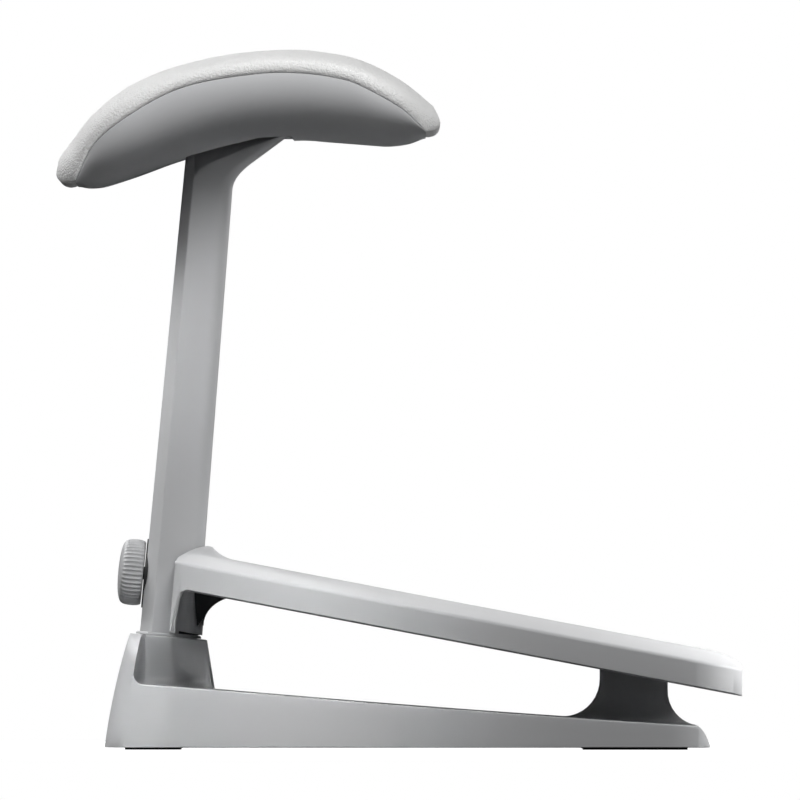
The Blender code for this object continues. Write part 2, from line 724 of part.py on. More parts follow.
def build_post():
    heights = [POST_FOOT_Z, HEAD_Z + HEAD_BEND - HEAD_FILLET]
    stations = [[(x, y, z) for x, y in post_outline(z)] for z in heights]
    for t in (-0.6, -0.2, 0.2, 0.6, 1.0):
        z = HEAD_Z + HEAD_BEND + HEAD_FILLET * t
        stations.append([(x, y, z) for x, y in head_outline(z)])
    top = HEAD_Z + SEAT[-1][1] + 0.006
    stations.append([(x, y, top) for x, y in head_outline(top)])
    post = piece("post", loft(stations), CAST)
    join(post, wing_mesh(), "head wings")
    lift = [(PAD_X + x, PAD_Z + z - GAP) for x, z in SEAT]
    slope = (SEAT[1][1] - SEAT[0][1]) / (SEAT[1][0] - SEAT[0][0])
    lift = [(lift[0][0] - 0.1, lift[0][1] - 0.1 * slope)] + lift[1:2] + [(lift[2][0] + 0.1, lift[2][1])]
    lift += [(lift[-1][0], HEAD_Z + 0.3), (lift[0][0], HEAD_Z + 0.3)]
    cut(post, side_prism(lift, -0.2, 0.2), "seat")
    cut(post, post_stack((POST_FOOT_Z + 0.024, HEAD_Z - 0.010), -POST_WALL), "bore")
    reach = POST_DEPTH_FOOT
    cut(post, slot_prism(0.0, TRAVEL + GAP, -reach * 0.5, 0.02), "rear slot")
    cut(post, slot_prism(KEY_LOW, TRAVEL + GAP, -reach * 1.6, -reach * 0.5), "front slot")
    for number, side in enumerate((-1, 1), 1):
        place = Matrix.Translation((BOLT_X, side * BOLT_Y, 0))
        cut(post, rod(0.0043, POST_FOOT_Z - 0.005, POST_FOOT_Z + 0.0205, 16, place), f"bolt hole {number}")
    for number, (x, y) in enumerate(HEAD_SCREWS, 1):
        cut(post, rod(0.0028, -0.018, 0.010, 12, seat_frame(x, y)), f"screw hole {number}")
    return post


def seat_frame(x, y):
    """A frame on the seat of the head, with Z square to it."""
    return Matrix.Translation((x, y, seat_z(x))) @ Matrix.Rotation(-SEAT_TILT, 4, "Y")


def build_gasket():
    rise = 0.0020
    inner = 0.0005
    outer = 0.0021

    def lifted(grow, up):
        return [(x, y, tower_top(x) + up) for x, y in post_outline(TOWER_HEIGHT, grow)]

    bead = loft([lifted(outer, GAP), lifted(outer, rise * 0.6), lifted(outer - 0.0006, rise)])
    gasket = piece("post_gasket", bead, CAST)
    cut(gasket, post_stack((TOWER_HEIGHT - 0.02, TOWER_HEIGHT + 0.03), inner), "post hole")


# Calf pad: hull shell, board, cushion and screws

seam_z = curve_height(SEAM)
cover_z = curve_height(COVER_TOP)
hull_z = curve_height(HULL)
SEAM_REAR = PAD_X + SEAM[0][0]
SEAM_FRONT = PAD_X + SEAM[-1][0]
PAD_XS = [lerp(SEAM_REAR, SEAM_FRONT, t)
          for t in (0.0, 0.02, 0.05, 0.09, 0.15, 0.23, 0.33, 0.45, 0.57, 0.69, 0.80, 0.89, 0.95, 0.985, 1.0)]
RIM_LIP = 0.0002


def pad_half(x, inset=0.0):
    return corner_half(x, SEAM_REAR - 0.012 + inset, SEAM_FRONT + 0.009 - inset, PAD_WIDTH / 2 - inset,
                       PAD_CORNER - inset, PAD_CORNER - inset)


def hull_station(x, floor, inset, lid):
    """Half section of the hull: a half ellipse under the seam, with a lid over it."""
    half = pad_half(x) - inset
    rim = seam_z(x)
    depth = max(rim - hull_z(x) - floor, 0.0008)
    section = []
    for angle in (4, 14, 26, 38, 50, 62, 72, 81, 90):
        a = math.radians(angle)
        section.append((x, half * math.sin(a), rim - depth * math.cos(a)))
    section.append((x, half, rim + lid))
    section.append((x, half * 0.4, rim + lid))
    return section


CUSHION_SCREWS = [(lerp(SEAM_REAR, SEAM_FRONT, t), side * BOARD_WIDTH * 0.10)
                  for t in (0.20, 0.80) for side in (-1, 1)]


def screw_seat_z(x):
    return seam_z(x) - BOARD_THICK - 0.012


def build_pad_shell():
    shell = piece("pad_shell", loft([hull_station(x, 0.0, 0.0, RIM_LIP) for x in PAD_XS]), PLASTIC)
    places = (SEAM_REAR + 0.006, *PAD_XS[3:12], SEAM_FRONT - 0.007)
    cut(shell, loft([hull_station(x, SHELL_FLOOR, SHELL_WALL, 0.02) for x in places]), "inside")
    for number, (x, y) in enumerate(CUSHION_SCREWS, 1):
        low = hull_z(x) + 0.004
        place = Matrix.Translation((x, y, 0))
        join(shell, rod(0.0062, low, screw_seat_z(x) + 0.0050, 14, place), f"boss {number}")
        cut(shell, rod(0.0024, low - 0.05, screw_seat_z(x) + 0.02, 12, place), f"screw bore {number}")
        cut(shell, rod(0.0046, low - 0.05, screw_seat_z(x), 14, place), f"screw well {number}")
    slope = (SEAT[1][1] - SEAT[0][1]) / (SEAT[1][0] - SEAT[0][0])
    rear = post_rear_x(HEAD_Z) - POCKET_CLEAR
    corner_x = PAD_X + SEAT[1][0]
    corner_z = PAD_Z + SEAT[1][1]
    end_x = PAD_X + POCKET_END
    pocket = [(rear, corner_z - (corner_x - rear) * slope), (corner_x, corner_z), (end_x, PAD_Z + SEAT[2][1]),
              (end_x, PAD_Z - 0.05), (rear, PAD_Z - 0.05)]
    cut(shell, side_prism(pocket, -POCKET_WIDTH / 2, POCKET_WIDTH / 2), "head pocket")
    for number, (x, y) in enumerate(HEAD_SCREWS, 1):
        cut(shell, rod(0.0032, -0.01, 0.02, 12, seat_frame(x, y)), f"head screw hole {number}")


def build_board():
    stations = []
    for x in PAD_XS[4:12]:
        half = min(BOARD_WIDTH / 2, pad_half(x) - 0.02)
        top = seam_z(x) - GAP
        low = seam_z(x) - BOARD_THICK
        stations.append([(x, half * 0.4, low), (x, half, low), (x, half, top), (x, half * 0.4, top)])
    board = piece("pad_board", loft(stations), BOARD)
    for number, (x, y) in enumerate(CUSHION_SCREWS, 1):
        cut(board, rod(0.0021, screw_seat_z(x), screw_seat_z(x) + 0.0165, 10, Matrix.Translation((x, y, 0))),
            f"screw hole {number}")


def cushion_low(x):
    """Underside of the cushion: it stands over the seam and turns under at both ends."""
    rear_end = PAD_X + COVER_TOP[0][0]
    front_end = PAD_X + COVER_TOP[-1][0]
    lift = RIM_LIP + GAP
    if x < SEAM_REAR:
        t = (SEAM_REAR - x) / (SEAM_REAR - rear_end)
        return lerp(seam_z(SEAM_REAR) + lift, PAD_Z + COVER_TOP[0][1], t ** 5)
    if x > SEAM_FRONT:
        t = (x - SEAM_FRONT) / (front_end - SEAM_FRONT)
        return lerp(seam_z(SEAM_FRONT) + lift, PAD_Z + COVER_TOP[-1][1], t ** 2)
    return seam_z(x) + lift


def build_cushion():
    rear_end = PAD_X + COVER_TOP[0][0]
    front_end = PAD_X + COVER_TOP[-1][0]
    places = [lerp(rear_end, SEAM_REAR, t) for t in (0.015, 0.12, 0.35, 0.7)] + PAD_XS
    places += [lerp(SEAM_FRONT, front_end, t) for t in (0.35, 0.7, 0.98)]
    stations = []
    for x in places:
        half = pad_half(x) + PAD_OVERLAP
        low = cushion_low(x)
        rise = max(cover_z(x) - low, 0.0012)
        section = [(x, half * 0.3, low), (x, half * 0.75, low), (x, half * 0.97, low)]
        for share in (1.0, 0.985, 0.955, 0.90, 0.82, 0.68, 0.45, 0.2):
            bulge = (1 - share ** 7) ** (1 / 7)
            section.append((x, half * share, low + rise * max(bulge, 0.25)))
        stations.append(section)
    piece("pad_cushion", loft(stations), LEATHER)


def build_pad_screws():
    for number, (x, y) in enumerate(CUSHION_SCREWS, 1):
        screw = pan_screw(0.0040, 0.0024, 0.0018, 0.0150)
        screw.transform(Matrix.Rotation(math.pi, 4, "X"))
        made = piece(f"cushion_screw_{number}", screw, STEEL)
        made.location = (x, y, screw_seat_z(x) - GAP)
    for number, (x, y) in enumerate(HEAD_SCREWS, 1):
        made = piece(f"head_screw_{number}", pan_screw(0.0048, 0.0028, 0.0025, 0.0180), STEEL)
        made.matrix_world = seat_frame(x, y) @ Matrix.Translation((0, 0, SHELL_FLOOR + 0.0035))


# Clamp carriage

YOKE_LOW = APRON_Z + 0.0002
YOKE_HIGH = PIVOT_Z + 0.0095
YOKE_INNER = GAP + LINER_THICK + GAP
YOKE_OUTER = YOKE_INNER + YOKE_THICK


def yoke_low(x):
    """Lower edge of the yoke, which runs with the deck's slope."""
    return APRON_Z - (x - post_front_x(APRON_Z) + 0.0075) * DECK_FALL


def liner_low(x):
    """Lower edge of the liner, just over the bead on the tower."""
    return tower_top(x) + 0.0024


def wrap_mesh(low, inner, outer, name):
    """A sheet round the front and the sides of the post, cut to the yoke's outline in the side view."""
    obj = tool(name, post_stack((APRON_Z - 0.02, YOKE_HIGH + 0.01), outer))
    rear = PIVOT_X - YOKE_REACH
    front = PIVOT_X - 0.010
    cheek = PIVOT_Z - 0.006
    outline = [(rear, low(rear)), (front, low(front)), (front, YOKE_HIGH),
               (post_front_x(YOKE_HIGH) - 0.006, YOKE_HIGH), (post_front_x(cheek) - 0.010, cheek),
               (rear + 0.0025, cheek)]
    combine(obj, side_prism(outline, -0.06, 0.06), "INTERSECT", "outline")
    combine(obj, post_stack((APRON_Z - 0.04, YOKE_HIGH + 0.03), inner), "DIFFERENCE", "inside")
    return finished(obj)


def bracket_outline():
    """The gusset in front of the yoke, with the boss for the tilt pin."""
    start_z = YOKE_LOW + 0.0078
    start_x = post_front_x(start_z) + YOKE_OUTER + GAP
    end_x = PIVOT_X - 0.0030
    end_z = PIVOT_Z - 0.0079
    outline = [(post_front_x(YOKE_HIGH) + YOKE_OUTER + GAP, YOKE_HIGH)]
    for t in (0.0, 0.2, 0.4, 0.6, 0.8, 1.0):
        a = math.radians(90 * t)
        outline.append((lerp(start_x, end_x, 1 - math.cos(a)), lerp(start_z, end_z, math.sin(a))))
    outline += rounded(PIVOT_X, PIVOT_Z, 0.0068, -70, 80, 8)
    return outline


def key_outline(grow):
    """The key in the side view, from inside the post's front slot out to the yoke."""
    depth = post_depth(CLAMP_Z)
    low = KEY_LOW + 0.0002 - grow
    high = KEY_LOW + 0.0140 + grow
    inside = -depth + 0.0032 + grow
    outside = -depth - YOKE_INNER - 0.0007 - grow
    return [clamp_point(inside, low), clamp_point(inside, high), clamp_point(outside, high),
            clamp_point(outside, low)]


def build_carriage():
    half = BRACKET_WIDTH / 2
    depth = post_depth(CLAMP_Z)
    stud_bore = (STUD_DIAMETER / 2 + 0.0004, -depth - 0.0150, -depth + 0.01, 16, CLAMP_FRAME)
    key_half = SLOT_WIDTH / 2 - 0.0004
    yoke = piece("clamp_yoke", wrap_mesh(yoke_low, YOKE_INNER, YOKE_OUTER, "yoke sheet"), CAST)
    join(yoke, side_prism(key_outline(0.0), -key_half, key_half), "key")
    cut(yoke, rod(*stud_bore), "stud bore")
    liner = piece("glide_liner", wrap_mesh(liner_low, GAP, GAP + LINER_THICK, "liner sheet"), NYLON)
    cut(liner, side_prism(key_outline(0.0003), -key_half - 0.0003, key_half + 0.0003), "key slot")
    cut(liner, rod(*stud_bore), "stud bore")

    bracket = piece("clamp_bracket", side_prism(bracket_outline(), -half, half), NYLON)
    cut(bracket, rod(*stud_bore), "stud bore")
    pocket = [clamp_point(-depth - 0.0042, -0.0079), clamp_point(-depth - 0.0112, -0.0079),
              clamp_point(-depth - 0.0112, 0.03), clamp_point(-depth - 0.0042, 0.03)]
    cut(bracket, side_prism(pocket, -0.0069, 0.0069), "nut pocket")
    cut(bracket, rod(PIN_DIAMETER / 2 + 0.0002, -0.1, 0.1, 20, across(PIVOT_X, PIVOT_Z)), "pin bore")

    nut = rod(0.0075, -0.0032, 0.0032, 6)
    made = piece("clamp_nut", nut, STEEL)
    cut(made, rod(STUD_DIAMETER / 2 + 0.0004, -depth - 0.02, -depth + 0.01, 20, CLAMP_FRAME), "stud bore")
    made.matrix_world = CLAMP_FRAME @ Matrix.Translation((0, 0, -depth - 0.0077))

    disc = ring(WASHER_DIAMETER / 2, STUD_DIAMETER / 2 + 0.0003, 0.0, WASHER_THICK, 40)
    washer = piece("clamp_washer", disc, NYLON)
    washer.matrix_world = CLAMP_FRAME @ Matrix.Translation((0, 0, 0.0002))

    add_pin("tilt", PIVOT_X, PIVOT_Z)


def add_pin(name, x, z):
    """A cross pin with a retaining clip at each end, just outside the deck's lugs."""
    reach = LUG_OUTER + 0.0035
    body = PIN_DIAMETER / 2
    neck = body - 0.0008
    clip = LUG_OUTER + 0.0008
    profile = [(0, reach), (body, reach), (body, clip + 0.0011), (neck, clip + 0.0011), (neck, clip - 0.0002),
               (body, clip - 0.0002), (body, 0.0002 - clip), (neck, 0.0002 - clip), (neck, -clip - 0.0011),
               (body, -clip - 0.0011), (body, -reach), (0, -reach)]
    pin = piece(f"{name}_pin", turned(profile, 20), STEEL)
    pin.matrix_world = across(x, z)
    for hand, side in (("left", 1), ("right", -1)):
        middle = side * (clip + 0.00045)
        mesh = ring(body + 0.0028, neck + 0.0002, middle - 0.00045, middle + 0.00045, 16)
        made = piece(f"{name}_clip_{hand}", mesh, BLACK_STEEL)
        made.matrix_world = across(x, z)


# Knob

def build_knob():
    radius = KNOB_DIAMETER / 2
    start = KNOB_STANDOFF
    end = start + KNOB_THICK
    levels = ((0.0, 0.90, 0.0), (0.05, 0.955, 0.3), (0.18, 0.99, 1.0), (0.42, 1.0, 1.0), (0.64, 0.985, 0.95),
              (0.765, 0.948, 0.55), (0.84, 0.885, 0.14), (0.89, 0.80, 0.0), (0.94, 0.65, 0.0),
              (0.97, 0.50, 0.0))
    stations = []
    for level, share, ribbed in levels:
        half = []
        for i in range(KNOB_RIBS):
            angle = math.pi * (i + 0.5) / KNOB_RIBS
            r = radius * share - (RIB_HEIGHT * ribbed if i % 2 else 0.0)
            half.append((r * math.cos(angle), r * math.sin(angle), start + KNOB_THICK * level))
        stations.append(half)
    grip = piece("knob_grip", loft(stations), PLASTIC)
    grip.matrix_world = CLAMP_FRAME
    bore = rod(STUD_DIAMETER / 2 + 0.0002, start - 0.01, start + 0.0115, 20, CLAMP_FRAME)
    cut(grip, bore, "stud bore")
    cap_radius = radius * 0.46
    low = start + KNOB_THICK * 0.84
    cut(grip, rod(cap_radius + 0.0002, low - GAP, end + 0.01, 32, CLAMP_FRAME), "cap recess")
    cap = turned([(0, end), (cap_radius * 0.3, end - KNOB_THICK * 0.001),
                  (cap_radius * 0.65, end - KNOB_THICK * 0.009),
                  (cap_radius * 0.92, end - KNOB_THICK * 0.020),
                  (cap_radius, end - KNOB_THICK * 0.027), (cap_radius, low), (0, low)], 32)
    piece("knob_cap", cap, PLASTIC).matrix_world = CLAMP_FRAME
    depth = post_depth(CLAMP_Z)
    half = STUD_DIAMETER / 2
    stud = turned([(0, start + 0.0112), (half, start + 0.0112), (half, -depth - 0.0130),
                   (half - 0.0012, -depth - 0.0142), (0, -depth - 0.0142)], 20)
    piece("clamp_stud", stud, BLACK_STEEL).matrix_world = CLAMP_FRAME


# Foot deck

def deck_half(x, inset=0.0):
    return corner_half(x, DECK_REAR - 0.0038 + inset, DECK_FRONT - inset, DECK_WIDTH / 2 - inset,
                       max(DECK_REAR_CORNER - inset, 0.002), DECK_FRONT_CORNER - inset)


def deck_top(x, y, half):
    """Height of the deck's top: a crown that rounds off at both ends, and a lip round the post's front."""
    ahead = min(max((DECK_FRONT - x) / 0.024, 0.0), 1.0)
    behind = min(max((x - DECK_REAR) / 0.020, 0.0), 1.0)
    ends = (0.15 + 0.85 * math.sqrt(1 - (1 - ahead) ** 2)) * math.sqrt(1 - (1 - behind) ** 2)
    front = post_front_x(crease(x) + CROWN)
    away = math.hypot(max(x - front, 0.0), max(abs(y) - post_half_width(CLAMP_Z), 0.0))
    lip = LIP * max(1 - max(away - 0.0050, 0.0) / 0.0150, 0.0) ** 2.4 * smooth((x - DECK_REAR) / 0.020)
    return crease(x) + CROWN * ends * (1 - (y / half) ** 2) + lip


def deck_station(x, top_y):
    """Half section of the deck. The apron leans with the post, and the rim of its arch is bevelled."""
    half = deck_half(x)
    edge = 0.0020
    away = x - DECK_REAR
    brim = deck_top(x, half, half + 0.0001)
    upright = 1 - smooth((away - 0.0062) / 0.0048)
    inside = deck_low(away - RIM_BEVEL * (1 - smooth((away - 0.016) / 0.020)))
    section = []
    for reach, low in ((half * 0.3, inside), (half - RIM_BEVEL, inside), (half, deck_low(away))):
        section.append((x - (brim - low) * APRON_LEAN * upright, reach, low))
    section.append((x, half, brim - edge))
    section.append((x, half - 0.3 * edge, brim - 0.3 * edge))
    for y in top_y:
        reach = min(y, half * 0.98 - edge * y / top_y[0])
        section.append((x, reach, deck_top(x, reach, half)))
    return section


APRON_LEAN = math.tan(FRONT_LEAN) * 1.06
TOP_SHARES = (0.985, 0.93, 0.82, 0.66, 0.52, 0.43, 0.37, 0.32, 0.28, 0.245, 0.16, 0.05)
TOP_Y = tuple(DECK_WIDTH / 2 * share for share in TOP_SHARES)


def deck_low(away):
    """Lower edge of the deck: the skirt, and an arch down to the apron at the back."""
    skirt = crease(DECK_REAR + away) - SKIRT
    if away >= ARCH[-1][0]:
        return skirt
    rise = float(numpy.interp(away, [p[0] for p in ARCH], [p[1] for p in ARCH]))
    return min(APRON_Z + rise, skirt)


def deck_mesh():
    places = [0.0, 0.0032, 0.0036, 0.0050, 0.0063, 0.0081, 0.0110, 0.0145, 0.0180, 0.0215, 0.0250, 0.0290,
              0.0340, 0.0420, 0.0560]
    length = DECK_FRONT - 0.0003 - DECK_REAR
    places += [length * t for t in (0.2, 0.4, 0.6, 0.8, 0.895, 0.93, 0.955, 0.972, 0.985, 0.994, 1.0)]
    return loft([deck_station(DECK_REAR + away, TOP_Y) for away in places])


def deck_hollow():
    stations = []
    start = DECK_REAR + DECK_WALL
    for t in (0.0, 0.03, 0.1, 0.3, 0.6, 0.85, 0.93, 0.97, 1.0):
        x = lerp(start, DECK_FRONT - DECK_WALL, t)
        low = APRON_Z - 0.012 if t == 0 else crease(x) - SKIRT - 0.06
        lean = (deck_top(x, 0.12, 0.135) - low) * APRON_LEAN if t == 0 else 0.0
        half = deck_half(x, DECK_WALL)
        lid = crease(x) + CROWN * (1 - 0.25) - DECK_WALL
        lid_edge = crease(x) - DECK_WALL
        if t == 0 or t == 1.0:
            lid = lid_edge
        low_x = x - lean
        stations.append([(low_x, half * 0.3, low), (low_x, half, low), (x, half, lid_edge - 0.0015),
                         (x, half - 0.002, lid_edge), (x, half * 0.6, lerp(lid_edge, lid, 0.64)),
                         (x, half * 0.1, lid)])
    return loft(stations)


def notch_mesh():
    """Clearance for the post, open to the back."""
    stations = []
    for z in (APRON_Z - 0.03, CLAMP_Z + 0.05):
        half = post_half_width(APRON_Z) + 0.0016
        front = post_front_x(z) + 0.0012
        corner = POST_CORNER
        outline = [(front - 0.09, half * 0.3), (front - 0.09, half)]
        outline += rounded(front - corner, half - corner, corner, 90, 0, 4)
        outline.append((front, half * 0.3))
        stations.append([(x, y, z) for x, y in outline])
    return loft(stations)


def lug_outline(x, z, behind, ahead, drop):
    """A lug in the side view that hangs from the deck's top wall round a pin."""
    tops = [(x + ahead, crease(x + ahead) + CROWN * 0.62), (x - behind, crease(x - behind) + CROWN * 0.62)]
    feet = [(x - behind, z + (behind * 0.4) * DECK_FALL),
            (x - behind * 0.6, z - drop + behind * 0.6 * DECK_FALL),
            (x + ahead * 0.75, z - drop - ahead * 0.75 * DECK_FALL),
            (x + ahead, z + 0.002 - ahead * DECK_FALL)]
    return tops + feet


def build_deck():
    deck = piece("foot_deck", deck_mesh(), CAST)
    pivot = (PIVOT_X, 0.0, PIVOT_Z)
    move_origin(deck, pivot)
    cut(deck, deck_hollow(), "hollow")
    cut(deck, notch_mesh(), "post notch")
    rib = [(PIVOT_X, crease(PIVOT_X) + CROWN * 0.62), (PIVOT_X, crease(PIVOT_X) - 0.006),
           (PYLON_X, crease(PYLON_X) - 0.006), (PYLON_X, crease(PYLON_X) + CROWN * 0.62)]
    shift = slot_shift()
    slope = math.radians(DECK_SLOPE)
    reach = PIN_DIAMETER / 2 + 0.0006
    slot = rounded(PYLON_X, FRONT_PIN_Z, reach, 90 - DECK_SLOPE, 270 - DECK_SLOPE, 8)
    slot += rounded(PYLON_X + shift * math.cos(slope), FRONT_PIN_Z - shift * math.sin(slope), reach,
                    -90 - DECK_SLOPE, 90 - DECK_SLOPE, 8)
    for hand, side in (("left", 1), ("right", -1)):
        inner = side * LUG_INNER
        outer = side * LUG_OUTER
        join(deck, side_prism(rib, inner + side * 0.0015, outer - side * 0.0015), f"rib {hand}")
        rear_lug = lug_outline(PIVOT_X, PIVOT_Z, 0.011, 0.013, 0.0080)
        join(deck, side_prism(rear_lug, inner, outer), f"rear lug {hand}")
        front_lug = lug_outline(PYLON_X, FRONT_PIN_Z, 0.012, 0.022, 0.0074)
        join(deck, side_prism(front_lug, inner, outer), f"front lug {hand}")
        cut(deck, side_prism(slot, inner - side * 0.01, outer + side * 0.01), f"slot {hand}")
        bush = PIN_DIAMETER / 2 + 0.0017
        place = across(PIVOT_X, PIVOT_Z)
        low, high = sorted((inner, outer))
        cut(deck, rod(bush + 0.0002, low - 0.01, high + 0.01, 24, place), f"bush bore {hand}")
        made = piece(f"tilt_bush_{hand}", ring(bush, PIN_DIAMETER / 2 + 0.0003, low, high, 24), NYLON)
        made.matrix_world = place


def build_front_pin():
    add_pin("front", PYLON_X, FRONT_PIN_Z)


build_base()
build_underside()
build_post_bolts()
build_post()
build_gasket()
build_pad_shell()
build_board()
build_cushion()
build_pad_screws()
build_carriage()
build_knob()
build_deck()
build_front_pin()
bpy.context.view_layer.update()
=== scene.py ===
"""Looks of the two-level foot and leg rest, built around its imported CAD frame.

Metres, +Z up. The camera looks along +Y at the side of the object, as the photograph does.
"""
import math

import bmesh
import bpy
import numpy
from mathutils import Matrix, Vector, noise


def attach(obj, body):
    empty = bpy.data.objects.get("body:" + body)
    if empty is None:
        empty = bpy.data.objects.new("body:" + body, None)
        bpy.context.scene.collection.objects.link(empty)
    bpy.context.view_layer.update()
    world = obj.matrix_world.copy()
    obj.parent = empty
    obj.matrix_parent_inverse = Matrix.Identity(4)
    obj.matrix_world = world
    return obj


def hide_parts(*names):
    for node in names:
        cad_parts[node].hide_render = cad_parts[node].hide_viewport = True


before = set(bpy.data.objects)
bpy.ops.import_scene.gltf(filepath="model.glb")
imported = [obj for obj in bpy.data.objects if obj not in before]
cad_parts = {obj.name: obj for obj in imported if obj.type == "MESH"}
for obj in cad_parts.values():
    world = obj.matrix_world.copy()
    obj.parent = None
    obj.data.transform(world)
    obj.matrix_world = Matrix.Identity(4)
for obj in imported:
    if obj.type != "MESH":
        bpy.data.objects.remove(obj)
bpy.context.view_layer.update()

# Driving dimensions, in metres and degrees; most are the CAD part's own
RIM_LIFT = 0.00125
BASE_REAR = -0.1827
BASE_LENGTH = 0.3755
BASE_WIDTH = 0.256
BASE_WALL = 0.004
BASE_EDGE = 0.0008
BASE_REAR_CORNER = 0.043
BASE_FRONT_CORNER = 0.017
SIDE_REAR_HEIGHT = 0.0372
SIDE_FRONT_HEIGHT = 0.0148
SIDE_SAG = 0.001
FOOT_EDGE = 0.0005
NOSE_LENGTH = 0.0078
NOSE_TIP = 0.0016
NOSE_POWER = 1.7
PLATE_TOP = 0.0062
PLATE_INSET = BASE_WALL + NOSE_LENGTH * 0.5

TOWER_HEIGHT = 0.070
TOWER_DEPTH = 0.0473
TOWER_WIDTH = 0.078
TOWER_TOE = 0.0049
TOWER_BULGE = 0.0016
BUTTRESS_TOP = 0.0073
BUTTRESS_FOOT = 0.0100
SHOULDER_POWER = 2.6
TOWER_FILLET = 0.006
TOP_EDGE = 0.0012
SCOOP_LENGTH = 0.0025
SCOOP_CORNER = 0.0074
SCOOP_START = 8.0
SHELF_STEPS = 5
FILLET_STEPS = 5
WALL_STEPS = 6
RIM_STEPS = 9

PYLON_INSET = 0.0467
PYLON_DEPTH = 0.0421
PYLON_WIDTH = 0.064
PYLON_FILLET_SHARE = 0.77
PYLON_FRONT_SHARE = 0.8
PYLON_CORNER = PYLON_DEPTH / 7
PYLON_SINK = 0.0132
PYLON_BOSS = 0.0085
PIN_DIAMETER = 0.008
PIN_CLEAR = 0.0002

POST_INSET = 0.03925
POST_LEAN = 4.96
POST_FOOT_Z = 0.021
POST_DEPTH_FOOT = 0.0361
POST_DEPTH_HEAD = 0.0309
POST_WIDTH_FOOT = 0.064
POST_WIDTH_HEAD = 0.058
POST_WALL = 0.0045
POST_CORNER = 0.008
POST_CHAMFER_SHARE = 0.20
POST_CHAMFER_WIDTH = 0.013
POST_CRISP = 0.0009
POST_FIT = 0.0004

HEAD_Z = 0.3475
HEAD_BEND = 0.0091
HEAD_SLOPE = 36.4
HEAD_FILLET = 0.008
HEAD_WING = 0.020
FLANGE_LIFT = 0.0008
NECK_DEPTH = 0.0095
HEAD_SCREW_HOLE = 0.0028

PAD_WIDTH = 0.330
PAD_CORNER = 0.050
HULL_POWER = 8.0
HULL_SIDE_SHARE = 0.78
COVER_SIDE_SHARE = 0.28
COVER_SIDE_POWER = 7.0
COVER_TOP_POWER = 2.6
TUCK = 0.0022
PUCKER_HEIGHT = 0.012
PUCKER_DEPTH = 0.0004
PAD_OVERLAP = 0.0015
SEAM_DROP = 0.0017
SEAM_FADE = 0.045
PAD_STEPS = 90
POCKET_END = 0.0528
POCKET_WIDTH = 0.104
NOTCH_WIDTH = 0.190
SEAT_SINK = 0.0018
BOARD_THICK = 0.006
BOARD_WIDTH = 0.230
CUSHION_SCREW_HOLE = 0.0046

CLAMP_Z = 0.1094
TRAVEL = 0.045
STUD_DIAMETER = 0.008
SLOT_WIDTH = 0.009
KEY_LOW = -0.0250
KEY_HEIGHT = 0.0138
KEY_DEPTH = 0.0032
STUD_CLEAR = 0.0004
NUT_POCKET = (0.0042, 0.0112)
NUT_HALF = 0.0069
NUT_DROP = 0.0079
KNOB_DIAMETER = 0.0412
KNOB_THICK = 0.0157
KNOB_STANDOFF = 0.0015
KNOB_FLUTES = 46
FLUTE_DEPTH = 0.0009
WASHER_DIAMETER = 0.0430
WASHER_BACK = 0.0009
WASHER_LIP = 0.0013
WASHER_CLEAR = 0.0001

PIVOT_DROP = 0.0064
PIVOT_REACH = 0.0208
BRACKET_WIDTH = 0.066
YOKE_THICK = 0.0014
YOKE_REACH = 0.0350
LINER_THICK = 0.0007
CHEEK_BACK = 0.0254
CHEEK_TIP = (0.0236, 0.0267)
CHEEK_THICK = 0.0016
CHEEK_TOP = 0.0037
GUSSET_RISE = 0.0040
GUSSET_END = (0.0034, 0.0079)
PIVOT_BOSS = 0.0068
BUSH_WALL = 0.0019
LUG_THICK = 0.006
LUG_CLEAR = 0.0015

DECK_SLOPE = 10.73
DECK_OVERHANG = 0.02025
DECK_BACK = 0.0366
DECK_RISE = 0.0069
DECK_WIDTH = 0.270
DECK_WALL = 0.0032
DECK_FRONT_CORNER = 0.037
DECK_REAR_CORNER = 0.008
DECK_EDGE = 0.0022
SKIRT = 0.0172
APRON_DROP = 0.0303
CROWN = 0.0077
CROWN_FRONT = 0.024
CROWN_REAR = 0.020
LIP = 0.0056
LIP_FLAT = 0.0050
LIP_RUN = 0.0150
LIP_POWER = 2.4
NOTCH_SIDE = 0.0016
NOTCH_FRONT = 0.0012
SLOT_CLEAR = 0.0006
RIM_BEVEL = 0.0022
RIM_DEPTH = 0.0029
SKIRT_BEVEL = 0.0009
GAP = 0.0003

# Share of a half width at which a section meets its mirror image
MIDDLE = 0.3

# Calf pad outlines, as offsets from the middle of the post where its head begins
SEAM = ((-0.0810, 0.0044), (-0.0700, 0.0261), (-0.0534, 0.0419), (-0.0289, 0.0574), (-0.0041, 0.0664),
        (0.0332, 0.0721), (0.0580, 0.0724), (0.0795, 0.0696), (0.0952, 0.0648), (0.1210, 0.0494),
        (0.1360, 0.0347))
COVER_TOP = ((-0.0930, 0.0096), (-0.0927, 0.0130), (-0.0921, 0.0158), (-0.0914, 0.0186), (-0.0897, 0.0219),
             (-0.0876, 0.0248), (-0.0822, 0.0321), (-0.0710, 0.0458), (-0.0524, 0.0611), (-0.0289, 0.0727),
             (-0.0041, 0.0800), (0.0208, 0.0845), (0.0487, 0.0865), (0.0704, 0.0853), (0.0952, 0.0802),
             (0.1200, 0.0680), (0.1386, 0.0534), (0.1410, 0.0508), (0.1424, 0.0484), (0.1436, 0.0459),
             (0.1444, 0.0437), (0.1450, 0.0412))
COVER_REAR_LOW = ((-0.0930, 0.0096), (-0.0926, 0.0074), (-0.0918, 0.0060), (-0.0903, 0.0047),
                  (-0.0878, 0.0037), (-0.0847, 0.0036), (-0.0810, 0.0049))
COVER_FRONT_LOW = ((0.1360, 0.0352), (0.1385, 0.0352), (0.1410, 0.0358), (0.1430, 0.0371), (0.1442, 0.0387),
                   (0.1450, 0.0412))
